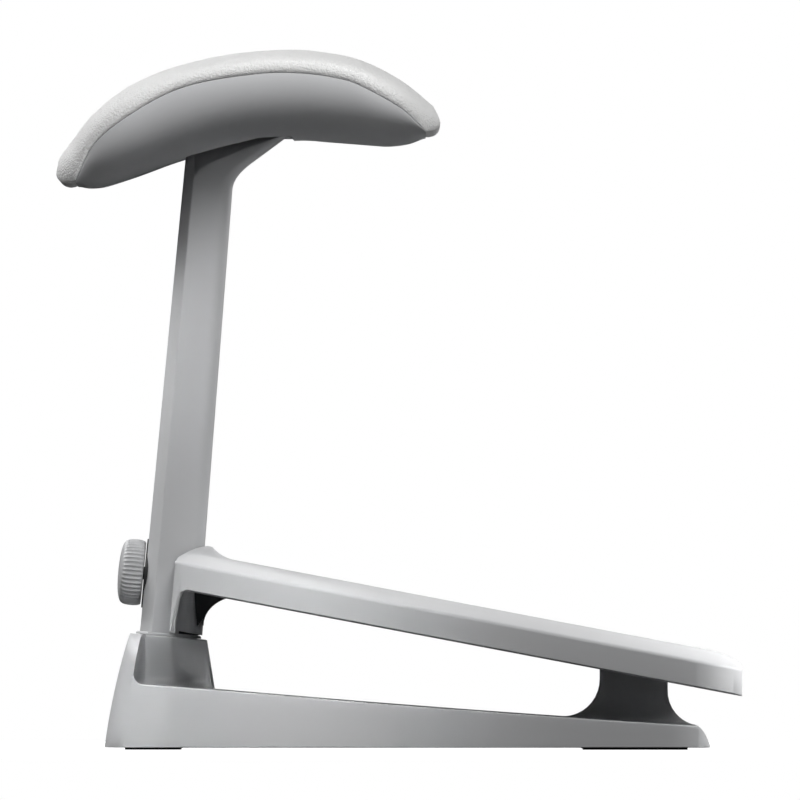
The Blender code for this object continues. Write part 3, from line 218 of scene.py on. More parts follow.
HULL = ((-0.0810, 0.0034), (-0.0745, 0.0017), (-0.0672, 0.0018), (-0.0598, 0.0034), (-0.0412, 0.0095),
        (-0.0164, 0.0185), (0.0180, 0.0281), (0.0562, 0.0313), (0.0766, 0.0302), (0.1014, 0.0283),
        (0.1138, 0.0277), (0.1262, 0.0295), (0.1360, 0.0339))
SEAT = ((-0.0400, 0.0133), (0.0320, 0.0328), (0.0600, 0.0332))
NECK_LOW = ((-0.0078, 0.0081), (-0.0048, 0.0131), (0.0003, 0.0167), (0.0120, 0.0211), (0.0219, 0.0254),
            (0.0325, 0.0291), (0.0474, 0.0342))

# Derived places
BASE_FRONT = BASE_REAR + BASE_LENGTH
NOSE_X = BASE_FRONT - NOSE_LENGTH
POST_X = BASE_REAR + POST_INSET
LEAN = math.tan(math.radians(POST_LEAN))
TOWER_BACK = POST_X - TOWER_DEPTH / 2
TOWER_FRONT = POST_X + TOWER_DEPTH / 2 + TOWER_TOE
TOWER_INNER = TOWER_WIDTH / 2
SHOULDER_END = TOWER_INNER + TOWER_FILLET
PYLON_X = BASE_FRONT - PYLON_INSET


def lerp(a, b, t):
    return a + (b - a) * t


def clip(t):
    return min(max(t, 0.0), 1.0)


def smooth(t):
    t = clip(t)
    return t * t * (3 - 2 * t)


def spread(count):
    return [i / (count - 1) for i in range(count)]


def row(start, end, count):
    """Even steps from start to end, without the start."""
    return [lerp(start, end, i / count) for i in range(1, count + 1)]


def table(x, points):
    return float(numpy.interp(x, [p[0] for p in points], [p[1] for p in points]))


def arc(cx, cz, radius, start, end, steps):
    angles = [math.radians(lerp(start, end, i / steps)) for i in range(steps + 1)]
    return [(cx + radius * math.cos(a), cz + radius * math.sin(a)) for a in angles]


def post_axis_x(z):
    return POST_X + (z - TOWER_HEIGHT) * LEAN


def post_share(z):
    return (z - TOWER_HEIGHT) / (HEAD_Z - TOWER_HEIGHT)


def post_depth(z):
    return lerp(POST_DEPTH_FOOT, POST_DEPTH_HEAD, post_share(z))


def post_half_width(z):
    return lerp(POST_WIDTH_FOOT, POST_WIDTH_HEAD, post_share(z)) / 2


def post_rear_x(z):
    return post_axis_x(z) - post_depth(z) / 2


def post_front_x(z):
    return post_axis_x(z) + post_depth(z) / 2


FRONT_LEAN = math.atan(post_front_x(1.0) - post_front_x(0.0))
REAR_LEAN = math.atan(post_rear_x(1.0) - post_rear_x(0.0))
SLIDE_AXIS = (math.sin(FRONT_LEAN), 0.0, math.cos(FRONT_LEAN))
CLAMP_X = post_rear_x(CLAMP_Z)
CLAMP_FRAME = Matrix.Translation((CLAMP_X, 0, CLAMP_Z)) @ Matrix.Rotation(REAR_LEAN - math.pi / 2, 4, "Y")
PIVOT_Z = CLAMP_Z - PIVOT_DROP
PIVOT_X = post_front_x(PIVOT_Z) + PIVOT_REACH
DECK_FALL = math.tan(math.radians(DECK_SLOPE))
DECK_REAR = PIVOT_X - DECK_BACK
DECK_FRONT = BASE_FRONT + DECK_OVERHANG
APRON_Z = PIVOT_Z - APRON_DROP
APRON_LEAN = math.tan(FRONT_LEAN) * 1.06
YOKE_LOW = APRON_Z + 0.0002
YOKE_HIGH = PIVOT_Z + 0.0095
YOKE_INNER = GAP + LINER_THICK + GAP
YOKE_OUTER = YOKE_INNER + YOKE_THICK
LUG_INNER = BRACKET_WIDTH / 2 + LUG_CLEAR
LUG_OUTER = LUG_INNER + LUG_THICK
PAD_X = post_axis_x(HEAD_Z)
PAD_Z = HEAD_Z
SEAM_REAR = PAD_X + SEAM[0][0]
SEAM_FRONT = PAD_X + SEAM[-1][0]
COVER_REAR = PAD_X + COVER_TOP[0][0]
COVER_FRONT = PAD_X + COVER_TOP[-1][0]


def crease(x):
    """Height of the deck's edge, where the top turns down into the skirt."""
    return PIVOT_Z + DECK_RISE - (x - PIVOT_X) * DECK_FALL


FRONT_PIN_Z = crease(PYLON_X) - SKIRT + 0.0088


def slot_shift():
    """How far the front pin goes along the deck's slot while the carriage goes from one end to the other."""
    start = (PYLON_X - PIVOT_X, FRONT_PIN_Z - PIVOT_Z)
    end = (start[0] - TRAVEL * SLIDE_AXIS[0], start[1] - TRAVEL * SLIDE_AXIS[2])
    slope = math.radians(DECK_SLOPE)
    off = start[0] * math.sin(slope) + start[1] * math.cos(slope)
    along_start = math.sqrt(start[0] ** 2 + start[1] ** 2 - off ** 2)
    along_end = math.sqrt(end[0] ** 2 + end[1] ** 2 - off ** 2)
    return along_end - along_start


def side_top(x):
    """Height of the base's long side edge."""
    t = (x - TOWER_FRONT) / (NOSE_X - TOWER_FRONT)
    sag = SIDE_SAG * 4 * t * (1 - t) if 0 < t < 1 else 0.0
    return lerp(SIDE_REAR_HEIGHT, SIDE_FRONT_HEIGHT, t) - sag


def tower_top(x):
    return TOWER_HEIGHT - (x - POST_X) * LEAN


def tower_rear_x(z):
    t = (z - RIM_LIFT) / (tower_top(TOWER_BACK) - RIM_LIFT)
    return lerp(BASE_REAR, TOWER_BACK, t) - TOWER_BULGE * 4 * t * (1 - t)


def corner_half(x, rear, front, half, rear_corner, front_corner):
    """Half width of a rounded plan outline at x."""
    if x < rear + rear_corner:
        away = min(rear + rear_corner - x, rear_corner)
        return half - rear_corner + math.sqrt(rear_corner ** 2 - away ** 2)
    if x > front - front_corner:
        away = min(x - front + front_corner, front_corner)
        return half - front_corner + math.sqrt(front_corner ** 2 - away ** 2)
    return half


def base_half(x):
    return corner_half(x, BASE_REAR, BASE_FRONT, BASE_WIDTH / 2, BASE_REAR_CORNER, BASE_FRONT_CORNER)


def curve_height(points):
    """A height function through the given points, as a smooth Catmull-Rom curve over x."""
    xs, zs = [], []
    ends = [points[0]] + list(points) + [points[-1]]
    for a, b, c, d in zip(ends, ends[1:], ends[2:], ends[3:]):
        for step in range(16):
            t = step / 16
            weights = ((-t + 2 * t * t - t ** 3) / 2, (2 - 5 * t * t + 3 * t ** 3) / 2,
                       (t + 4 * t * t - 3 * t ** 3) / 2, (t ** 3 - t * t) / 2)
            xs.append(sum(w * p[0] for w, p in zip(weights, (a, b, c, d))))
            zs.append(sum(w * p[1] for w, p in zip(weights, (a, b, c, d))))
    xs.append(points[-1][0])
    zs.append(points[-1][1])
    return lambda x: float(numpy.interp(x - PAD_X, xs, zs)) + PAD_Z


seam_curve = curve_height(SEAM)
cover_z = curve_height(COVER_TOP)
hull_z = curve_height(HULL)
rear_low_z = curve_height(COVER_REAR_LOW)
front_low_z = curve_height(COVER_FRONT_LOW)


def seam_z(x):
    """Height of the seam. Its near edge looks higher than it is, so it is built lower between the ends."""
    inside = min(x - SEAM_REAR, SEAM_FRONT - x)
    return seam_curve(x) - SEAM_DROP * smooth(inside / SEAM_FADE)


# Mesh tools

SCENE = bpy.context.scene
TOOLS = bpy.data.collections.new("cutters")
SCENE.collection.children.link(TOOLS)


def show(name, data):
    obj = bpy.data.objects.new(name, data)
    SCENE.collection.objects.link(obj)
    return obj


def at(x, y, z):
    return Matrix.Translation((x, y, z))


def piece(name, mesh, body, slot, material, *nodes):
    """A new visible piece that rides on a CAD body and stands for CAD nodes."""
    obj = show(name, mesh)
    mesh.materials.clear()
    mesh.materials.append(material)
    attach(obj, body)
    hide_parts(*nodes)
    return obj


def mesh_of(form, name):
    bmesh.ops.recalc_face_normals(form, faces=form.faces)
    mesh = bpy.data.meshes.new(name)
    form.to_mesh(mesh)
    form.free()
    return mesh


def end_cap(form, ring, half):
    """Close a mirrored ring with one face from row to row; points of one row share their x and z."""
    count = len(ring)
    rows = [[0]]
    for i in range(1, len(half)):
        same = abs(half[i][0] - half[i - 1][0]) + abs(half[i][2] - half[i - 1][2]) < 1e-9
        if same:
            rows[-1].append(i)
        else:
            rows.append([i])
    for number, (low, high) in enumerate(zip(rows, rows[1:])):
        widens = half[low[-1]][1] > half[low[0]][1]
        narrows = half[high[-1]][1] < half[high[0]][1]
        lower = low if number == 0 or widens else low[-1:]
        upper = high if number == len(rows) - 2 or narrows else high[:1]
        left = lower + upper
        right = [count - 1 - i for i in reversed(left)]
        form.faces.new([ring[i] for i in left + right])


def bridge(form, rings):
    """Faces from each ring to the next."""
    count = len(rings[0])
    for first, second in zip(rings, rings[1:]):
        for i in range(count):
            j = (i + 1) % count
            form.faces.new((first[i], first[j], second[j], second[i]))


def loft(stations, name="loft"):
    """A closed skin through half sections: lists of (x, y, z) with y above 0, mirrored over y = 0."""
    form = bmesh.new()
    rings = []
    for half in stations:
        ring = [form.verts.new((x, -y, z)) for x, y, z in half]
        ring += [form.verts.new((x, y, z)) for x, y, z in reversed(half)]
        rings.append(ring)
    bridge(form, rings)
    end_cap(form, rings[0], stations[0])
    end_cap(form, rings[-1], stations[-1])
    return mesh_of(form, name)


def prism(outline, thickness, matrix):
    """A flat outline with a thickness, centred on its own plane."""
    form = bmesh.new()
    low, high = ([form.verts.new((u, v, w)) for u, v in outline] for w in (-thickness / 2, thickness / 2))
    form.faces.new(reversed(low))
    form.faces.new(high)
    bridge(form, (low, high))
    mesh = mesh_of(form, "prism")
    mesh.transform(matrix)
    return mesh


def side_prism(outline, y_from, y_to):
    """An outline in the side view (x, z), from one y to another."""
    place = at(0, (y_from + y_to) / 2, 0) @ Matrix.Rotation(math.pi / 2, 4, "X")
    return prism(outline, abs(y_to - y_from), place)


def rod(radius, bottom, top, segments, matrix=Matrix()):
    """A round bar along Z between two heights."""
    circle = arc(0, 0, radius, 0, 360 - 360 / segments, segments - 1)
    return prism(circle, top - bottom, matrix @ at(0, 0, (bottom + top) / 2))


def across(x, z):
    """A frame whose Z lies along Y, at a place in the side view."""
    return at(x, 0, z) @ Matrix.Rotation(-math.pi / 2, 4, "X")


def cut(mesh):
    return "DIFFERENCE", mesh


def add(mesh):
    return "UNION", mesh


def keep(mesh):
    return "INTERSECT", mesh


def worked(mesh, steps):
    """A mesh after a row of Boolean steps, each (operation, other mesh)."""
    obj = bpy.data.objects.new("work", mesh)
    TOOLS.objects.link(obj)
    others = []
    for operation, other in steps:
        helper = bpy.data.objects.new("cutter", other)
        TOOLS.objects.link(helper)
        others.append(helper)
        change = obj.modifiers.new("step", "BOOLEAN")
        change.operation = operation
        change.solver = "EXACT"
        change.object = helper
    bpy.context.view_layer.update()
    result = bpy.data.meshes.new_from_object(obj.evaluated_get(bpy.context.evaluated_depsgraph_get()))
    for helper in others + [obj]:
        bpy.data.objects.remove(helper)
    return result


def shaded(mesh, angle=30):
    """Smooth shading, with edges sharper than the angle left crisp."""
    mesh.polygons.foreach_set("use_smooth", [True] * len(mesh.polygons))
    mesh.set_sharp_from_angle(angle=math.radians(angle))
    mesh.update()
    return mesh


# Materials

class Shader:
    """A Principled material that is wired up step by step."""

    def __init__(self, name, colour, roughness, **sockets):
        self.material = bpy.data.materials.new(name)
        self.material.use_nodes = True
        self.tree = self.material.node_tree
        self.shader = self.tree.nodes["Principled BSDF"]
        self.shader.inputs["Base Color"].default_value = (*colour, 1.0)
        self.shader.inputs["Roughness"].default_value = roughness
        for key, value in sockets.items():
            self.shader.inputs[key.replace("_", " ")].default_value = value
        self.colour = colour
        self.roughness = roughness
        self.material.diffuse_color = (*colour, 1.0)
        self.place = self.node("ShaderNodeTexCoord").outputs["Object"]
        self.normal = None

    def node(self, kind, **values):
        made = self.tree.nodes.new(kind)
        for key, value in values.items():
            if key in made.inputs:
                made.inputs[key].default_value = value
            else:
                setattr(made, key, value)
        return made

    def link(self, source, target):
        self.tree.links.new(source, target)

    def noise(self, scale, detail=3.0, roughness=0.55, place=None):
        made = self.node("ShaderNodeTexNoise", Scale=scale, Detail=detail, Roughness=roughness)
        self.link(place or self.place, made.inputs["Vector"])
        return made.outputs["Fac"]

    def cells(self, scale, feature="F1", place=None):
        made = self.node("ShaderNodeTexVoronoi", Scale=scale, feature=feature)
        self.link(place or self.place, made.inputs["Vector"])
        return made.outputs["Distance"]

    def ramp(self, value, low, high, start=0.3, end=0.7):
        made = self.node("ShaderNodeMapRange")
        self.link(value, made.inputs["Value"])
        for socket, number in zip(("From Min", "From Max", "To Min", "To Max"), (start, end, low, high)):
            made.inputs[socket].default_value = number
        return made.outputs["Result"]

    def tint(self, value, low, high):
        """Base colour times a number that runs from low to high with the value."""
        made = self.node("ShaderNodeMix", data_type="RGBA")
        self.link(value, made.inputs["Factor"])
        made.inputs["A"].default_value = (*(c * low for c in self.colour), 1.0)
        made.inputs["B"].default_value = (*(min(c * high, 1.0) for c in self.colour), 1.0)
        self.link(made.outputs["Result"], self.shader.inputs["Base Color"])

    def gloss(self, value, low, high):
        self.link(self.ramp(value, low, high), self.shader.inputs["Roughness"])

    def bump(self, value, strength, distance):
        made = self.node("ShaderNodeBump", Strength=strength, Distance=distance)
        self.link(value, made.inputs["Height"])
        if self.normal is not None:
            self.link(self.normal, made.inputs["Normal"])
        self.normal = made.outputs["Normal"]
        self.link(self.normal, self.shader.inputs["Normal"])


def textured(name, colour, roughness, grain=1700.0, depth=0.00006, drift=0.03):
    """Fine moulded or powder-coated texture with a slow drift of tone."""
    made = Shader(name, colour, roughness)
    fine = made.noise(grain, 2.0, 0.6)
    slow = made.noise(22.0, 3.0, 0.5)
    made.tint(slow, 1.0 - drift, 1.0 + drift)
    made.gloss(fine, roughness - 0.06, roughness + 0.06)
    made.bump(fine, 0.55, depth)
    made.bump(slow, 0.25, 0.0002)
    return made.material


def metal(name, colour, roughness):
    """Turned or plated metal with fine brushed scratches."""
    made = Shader(name, colour, roughness, Metallic=1.0)
    scratches = made.noise(2600.0, 4.0, 0.7)
    patches = made.noise(160.0, 3.0, 0.5)
    made.tint(patches, 0.88, 1.08)
    made.gloss(scratches, roughness - 0.08, roughness + 0.12)
    made.bump(scratches, 0.3, 0.00003)
    return made.material


def leather(name):
    """Near-white grained leather: pebbles, fine creases and a slow drift of tone."""
    made = Shader(name, (0.88, 0.88, 0.875), 0.68, Specular_IOR_Level=0.2, Sheen_Weight=0.15,
                  Sheen_Roughness=0.5)
    warp = made.node("ShaderNodeVectorMath", operation="MULTIPLY_ADD")
    shift = made.node("ShaderNodeTexNoise", Scale=420.0, Detail=2.0)
    made.link(made.place, shift.inputs["Vector"])
    made.link(shift.outputs["Color"], warp.inputs[0])
    warp.inputs[1].default_value = (0.0016, 0.0016, 0.0016)
    made.link(made.place, warp.inputs[2])
    pebbles = made.cells(820.0, "F1", warp.outputs["Vector"])
    creases = made.cells(290.0, "DISTANCE_TO_EDGE", warp.outputs["Vector"])
    slow = made.noise(30.0, 4.0, 0.55)
    fine = made.noise(3000.0, 2.0, 0.6)
    made.tint(slow, 0.965, 1.02)
    made.gloss(pebbles, 0.62, 0.76)
    made.bump(fine, 0.2, 0.00004)
    made.bump(made.ramp(pebbles, 1.0, 0.0, 0.1, 0.75), 0.85, 0.00034)
    made.bump(made.ramp(creases, 0.0, 1.0, 0.0, 0.12), 0.45, 0.00018)
    return made.material


def rubber(name):
    made = Shader(name, (0.012, 0.012, 0.013), 0.82)
    grain = made.cells(900.0)
    dust = made.noise(120.0, 4.0, 0.6)
    made.tint(dust, 0.8, 1.7)
    made.gloss(dust, 0.75, 0.9)
    made.bump(grain, 0.5, 0.00012)
    return made.material


def plywood(name):
    made = Shader(name, (0.46, 0.34, 0.21), 0.75)
    stretch = made.node("ShaderNodeMapping")
    made.link(made.place, stretch.inputs["Vector"])
    stretch.inputs["Scale"].default_value = (1.0, 0.06, 1.0)
    grain = made.noise(420.0, 5.0, 0.65, stretch.outputs["Vector"])
    made.tint(grain, 0.75, 1.18)
    made.gloss(grain, 0.68, 0.82)
    made.bump(grain, 0.35, 0.0001)
    return made.material


CAST = textured("painted casting", (0.60, 0.605, 0.615), 0.50)
SHELL = textured("matte shell", (0.55, 0.555, 0.565), 0.56, 2100.0, 0.00004, 0.02)
KNOB = textured("knob plastic", (0.56, 0.565, 0.575), 0.48, 2300.0, 0.00003, 0.02)
LEATHER = leather("white leather")
STEEL = metal("plated steel", (0.62, 0.62, 0.63), 0.30)
BLACK_STEEL = metal("black steel", (0.035, 0.035, 0.037), 0.42)
# Dark nylon parts; on the glide liner and the clamp washer this black is also painted shade, where the deck
# and the knob shade the carriage
NYLON_AND_PAINTED_SHADE = textured("black nylon", (0.018, 0.018, 0.019), 0.5, 1900.0, 0.00005, 0.1)
RUBBER = rubber("black rubber")
BOARD = plywood("pad board")

NODE_LOOKS = {"foot_pad": RUBBER, "pad_board": BOARD, "tilt_bush": NYLON_AND_PAINTED_SHADE, "ballast_plate": BLACK_STEEL,
              "clamp_stud": BLACK_STEEL, "post_bolt": BLACK_STEEL, "front_clip": BLACK_STEEL,
              "tilt_clip": BLACK_STEEL, "front_pin": STEEL, "tilt_pin": STEEL, "clamp_nut": STEEL,
              "plate_screw": STEEL, "head_screw": STEEL, "cushion_screw": STEEL}


def dress_nodes():
    """Give every CAD node that stays in view its material; the gasket is painted like the base."""
    for name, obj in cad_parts.items():
        looks = [look for start, look in NODE_LOOKS.items() if name.startswith(start)]
        obj.data.materials.clear()
        obj.data.materials.append((looks + [CAST])[0])


dress_nodes()

# Base

def foot_points(side, edge):
    """The base's side as pairs: distance in from the plan outline (None for the middle), and height."""
    low = RIM_LIFT + FOOT_EDGE
    points = [(None, RIM_LIFT), (FOOT_EDGE, RIM_LIFT), (0.0, low)]
    points += [(0.0, lerp(low, side - edge, t)) for t in (0.2, 0.4, 0.6, 0.8)]
    points += [(-y, z) for y, z in arc(-edge, side - edge, edge, 0, 90, 5)]
    return points


def shoulder_height(y, start, side, high):
    """Height of the shoulder's rounded outline at a distance from the middle."""
    share = clip((y - SHOULDER_END) / (start - SHOULDER_END))
    return lerp(side, high, (1 - share ** SHOULDER_POWER) ** (1 / SHOULDER_POWER))


def scoop_reach(start, turn):
    """Distance of the scoop's hollow wall from the middle; it sweeps in from the side as it turns."""
    return TOWER_INNER + (start - TOWER_INNER) * (1 - math.sin(math.radians(turn)))


def wall_x(z, foot_back, top_back):
    high = tower_top(TOWER_BACK + top_back)
    side = side_top(TOWER_BACK + top_back)
    return tower_rear_x(z) + lerp(foot_back, top_back, clip((z - side) / (high - side)))


def rim_row(start):
    """Distances from the middle over the tower's rim, closer together at the start."""
    return [lerp(start, TOWER_INNER - TOP_EDGE, t ** 2) for t in row(0.0, 1.0, RIM_STEPS)]


def tower_lid(z):
    return [(TOWER_INNER - TOP_EDGE * 2, z), (TOWER_INNER * 0.4, z)]


def rear_section(share):
    """Half section along the leaning rear wall, set forward of the back face by a share of the buttress."""
    top_back = BUTTRESS_TOP * share
    foot_back = BUTTRESS_FOOT * share
    x = TOWER_BACK + top_back
    side = side_top(x) + SCOOP_CORNER
    high = tower_top(x)
    width = base_half(BASE_REAR + foot_back)
    half = [(width * MIDDLE if inset is None else width, z) for inset, z in foot_points(side, BASE_EDGE)]
    half[1] = (width - FOOT_EDGE, RIM_LIFT)
    first = scoop_reach(width, SCOOP_START)
    last_angle = math.acos(((first - SHOULDER_END) / (width - SHOULDER_END)) ** (SHOULDER_POWER / 2))
    count = SHELF_STEPS + FILLET_STEPS + WALL_STEPS
    for angle in row(0.0, last_angle, count):
        y = lerp(SHOULDER_END, width, math.cos(angle) ** (2 / SHOULDER_POWER))
        half.append((y, lerp(side, high, math.sin(angle) ** (2 / SHOULDER_POWER))))
    for y in rim_row(first):
        half.append((y, shoulder_height(y, width, side, high)))
    half += tower_lid(high)
    return [(wall_x(z, foot_back, top_back), y, z) for y, z in half]


def step_section(x, turn=90.0, share=1.0):
    """Half section through the tower: side, shelf, fillet, the scoop's wall and the rest of the shoulder."""

    def place(z):
        return lerp(wall_x(z, BUTTRESS_FOOT, BUTTRESS_TOP), x, share)

    rim_x = place(SIDE_REAR_HEIGHT)
    away = 1 - min((rim_x - wall_x(SIDE_REAR_HEIGHT, BUTTRESS_FOOT, BUTTRESS_TOP)) / SCOOP_CORNER, 1.0)
    side = side_top(rim_x) + SCOOP_CORNER * (1 - math.sqrt(1 - away ** 2))
    high = tower_top(place(TOWER_HEIGHT))
    half = []
    for inset, z in foot_points(side, BASE_EDGE):
        width = base_half(BASE_REAR + place(z) - tower_rear_x(z))
        half.append((width * MIDDLE if inset is None else width - inset * min(share * 8, 1.0), z))
    start = half[-1][0]
    reach = scoop_reach(start, turn)
    fillet = TOWER_FILLET * share
    top = shoulder_height(reach, start, side, high)
    half += [(y, side) for y in row(start, reach + fillet, SHELF_STEPS)]
    for a in row(0.0, math.pi / 2, FILLET_STEPS):
        half.append((reach + fillet * (1 - math.sin(a)), side + fillet * (1 - math.cos(a))))
    half += [(reach, z) for z in row(side + fillet, top - TOP_EDGE, WALL_STEPS)]
    for y in rim_row(reach):
        away = 1 - min((reach - y) / TOP_EDGE, 1.0)
        half.append((y, shoulder_height(y, start, side, high) - TOP_EDGE * (1 - math.sqrt(1 - away ** 2))))
    half += tower_lid(high)
    return [(place(z), y, z) for y, z in half]


def slab_section(x):
    """Half section of the low part of the base, with as many points as the tower's."""
    side = side_top(x)
    if x > NOSE_X:
        side = lerp(side_top(NOSE_X), RIM_LIFT + NOSE_TIP, ((x - NOSE_X) / NOSE_LENGTH) ** NOSE_POWER)
    width = base_half(x)
    points = foot_points(side, min(BASE_EDGE, (side - RIM_LIFT) * 0.6))
    half = [(width * MIDDLE if inset is None else width - inset, z) for inset, z in points]
    across_top = row(half[-1][0], SHOULDER_END, SHELF_STEPS)
    across_top += row(SHOULDER_END, TOWER_INNER, FILLET_STEPS + WALL_STEPS)
    across_top += row(TOWER_INNER, TOWER_INNER - TOP_EDGE, RIM_STEPS)
    half += [(y, side) for y in across_top] + tower_lid(side)
    return [(x, y, z) for y, z in half]


def base_mesh():
    scoop_end = TOWER_BACK + BUTTRESS_TOP + SCOOP_LENGTH
    tower_end = TOWER_FRONT - TOWER_TOE
    stations = [rear_section(share) for share in (0.0, 0.03, 0.10, 0.22, 0.38, 0.56, 0.76, 1.0)]
    for turn in numpy.linspace(SCOOP_START, 90.0, 18):
        stations.append(step_section(scoop_end, turn, 1 - math.cos(math.radians(turn))))
    stations += [step_section(x) for x in row(scoop_end, tower_end - TOP_EDGE, 12)]
    full = step_section(tower_end)
    slab = slab_section(TOWER_FRONT)
    for share in (0.012, 0.05, 0.3, 0.6, 0.85, 0.95):
        x = lerp(tower_end, TOWER_FRONT, share)
        stations.append([(x, lerp(p[1], q[1], share), lerp(p[2], q[2], share)) for p, q in zip(full, slab)])
    stations.append(slab)
    stations += [slab_section(x) for x in row(TOWER_FRONT, NOSE_X, 18)]
    for t in (0.12, 0.25, 0.37, 0.48, 0.58, 0.68, 0.77, 0.85, 0.92, 0.97, 1.0):
        stations.append(slab_section(NOSE_X + NOSE_LENGTH * t))
    return loft(stations, "base")


def pylon_outline(rear, front, half, corner):
    outline = [(rear, half * 0.4)]
    outline += arc(rear + corner, half - corner, corner, 180, 90, 6)
    outline += arc(front - corner, half - corner, corner, 90, 0, 6)
    outline.append((front, half * 0.4))
    return outline


def pylon_mesh():
    rear = PYLON_X - PYLON_DEPTH / 2
    front = PYLON_X + PYLON_DEPTH / 2
    half = PYLON_WIDTH / 2
    fillet = PYLON_FILLET_SHARE * (crease(PYLON_X) - PYLON_SINK - side_top(PYLON_X))
    start = 0.004 * fillet

    def flare(h, radius):
        away = max(radius - max(h, start), 0.0)
        return radius - math.sqrt(radius ** 2 - away ** 2)

    stations = []
    for share in (-0.08, 0.004, 0.015, 0.035, 0.07, 0.12, 0.19, 0.28, 0.40, 0.54, 0.70, 0.85, 1.0):
        h = share * fillet
        back = flare(h, fillet)
        ahead = flare(h, fillet * PYLON_FRONT_SHARE)
        outline = pylon_outline(rear - back, front + ahead, half + back, PYLON_CORNER + back * 0.6)
        stations.append([(x, y, side_top(x) + h) for x, y in outline])
    top = pylon_outline(rear, front, half, PYLON_CORNER)
    stations.append([(x, y, crease(x) - PYLON_SINK) for x, y in top])
    return loft(stations, "pylon")


def plan_outline(inset):
    """Full plan outline of the base, drawn in by an inset."""
    rear = BASE_REAR + inset
    front = BASE_FRONT - inset
    half = BASE_WIDTH / 2 - inset
    back = BASE_REAR_CORNER - inset
    ahead = max(BASE_FRONT_CORNER - inset, 0.004)
    outline = arc(front - ahead, half - ahead, ahead, 0, 90, 8)
    outline += arc(rear + back, half - back, back, 90, 180, 12)
    outline += arc(rear + back, back - half, back, 180, 270, 12)
    outline += arc(front - ahead, ahead - half, ahead, 270, 360, 8)
    return outline


def post_outline(z, grow=0.0):
    """Half plan outline of the post at a height, from the back round to the front."""
    rear = post_rear_x(z) - grow
    front = post_front_x(z) + grow
    half = post_half_width(z) + grow
    chamfer = POST_CHAMFER_SHARE * post_depth(z)
    corner = POST_CORNER + grow
    outline = [(rear, half * MIDDLE)]
    knees = [(rear, half * MIDDLE), (rear, half - POST_CHAMFER_WIDTH), (rear + chamfer, half),
             (front - corner, half)]
    for before, knee, after in zip(knees, knees[1:], knees[2:]):
        into = (Vector(before) - Vector(knee)).normalized() * POST_CRISP
        out = (Vector(after) - Vector(knee)).normalized() * POST_CRISP
        for t in (0.0, 0.25, 0.5, 0.75, 1.0):
            bend = Vector(knee) + into * (1 - t) ** 2 + out * t ** 2
            outline.append((bend.x, bend.y))
    outline += arc(front - corner, half - corner, corner, 90, 0, 10)
    outline.append((front, half * MIDDLE))
    return outline


def post_stack(heights, grow=0.0):
    return loft([[(x, y, z) for x, y in post_outline(z, grow)] for z in heights])


def build_base():
    boss_half = PYLON_WIDTH / 2 + 0.0008
    pin_place = across(PYLON_X, FRONT_PIN_Z)
    recess = prism(plan_outline(PLATE_INSET), PLATE_TOP + GAP + 0.010,
                   at(0, 0, (PLATE_TOP + GAP - 0.010) / 2))
    steps = [add(pylon_mesh()), add(rod(PYLON_BOSS, -boss_half, boss_half, 48, pin_place)),
             cut(rod(PIN_DIAMETER / 2 + PIN_CLEAR, -PYLON_WIDTH, PYLON_WIDTH, 48, pin_place)),
             cut(post_stack((POST_FOOT_Z - GAP, tower_top(BASE_REAR) + 0.01), POST_FIT)), cut(recess)]
    mesh = shaded(worked(base_mesh(), steps))
    piece("base_shell_skin", mesh, "frame", "painted_casting", CAST, "base_shell")


build_base()

# Post

def head_front_x(z):
    away = z - HEAD_Z - HEAD_BEND
    run = 1 / math.tan(math.radians(HEAD_SLOPE)) - math.tan(FRONT_LEAN)
    if away <= -HEAD_FILLET:
        return post_front_x(z)
    if away >= HEAD_FILLET:
        return post_front_x(z) + run * away
    return post_front_x(z) + run * (away + HEAD_FILLET) ** 2 / (4 * HEAD_FILLET)


def head_outline(z):
    shift = head_front_x(z) - post_front_x(z)
    outline = post_outline(z)
    return outline[:11] + [(x + shift, y) for x, y in outline[11:]]


def seat_z(x):
    return table(x - PAD_X, SEAT) + PAD_Z


def pad_points(offsets):
    return [(PAD_X + dx, PAD_Z + dz) for dx, dz in offsets]


def wing_mesh():
    """The flange of the head on both sides, in the pocket of the pad."""
    rear = post_rear_x(HEAD_Z + 0.015) + 0.006
    front = PAD_X + SEAT[-1][0] - 0.018
    inside = (post_half_width(HEAD_Z) - 0.0015) * 0.5
    stations = []
    for t in spread(25):
        x = lerp(rear, front, t)
        wide = inside * 2 + HEAD_WING * lerp(0.75, 1.0, smooth(t * 3)) * lerp(1.0, 0.55, t)
        low = seat_z(x) + FLANGE_LIFT - 0.0003
        top = seat_z(x) + 0.004
        stations.append([(x, inside, low), (x, wide - 0.0003, low), (x, wide, low + 0.0003), (x, wide, top),
                         (x, inside, top)])
    return loft(stations, "wings")


def neck_cut(side):
    """The undercut between the flange and the side of the post."""
    low = pad_points(NECK_LOW)
    high = [(x, seat_z(x) + FLANGE_LIFT) for x, z in reversed(low[:-1])]
    half = post_half_width(HEAD_Z)
    return side_prism(low + high, side * (half - NECK_DEPTH), side * (half + 0.03))


def slot_prism(low, high, out_from, out_to):
    """A slot along the post for the clamp, between two heights above the clamp axis."""
    radius = SLOT_WIDTH / 2
    outline = [(x, y + high) for x, y in arc(0, 0, radius, 0, 180, 16)]
    outline += [(x, y + low) for x, y in arc(0, 0, radius, 180, 360, 16)]
    turn = Matrix(((0, 1, 0, 0), (1, 0, 0, 0), (0, 0, -1, 0), (0, 0, 0, 1)))
    place = CLAMP_FRAME @ at(0, 0, (out_from + out_to) / 2) @ turn
    return prism(outline, abs(out_to - out_from), place)


HEAD_SCREWS = [(PAD_X + dx, side * 0.015) for dx in (-0.006, 0.018) for side in (-1, 1)]
SEAT_SLOPE = (SEAT[1][1] - SEAT[0][1]) / (SEAT[1][0] - SEAT[0][0])


def seat_frame(x, y):
    """A frame on the seat of the head, with Z square to it."""
    return at(x, y, seat_z(x)) @ Matrix.Rotation(-math.atan(SEAT_SLOPE), 4, "Y")


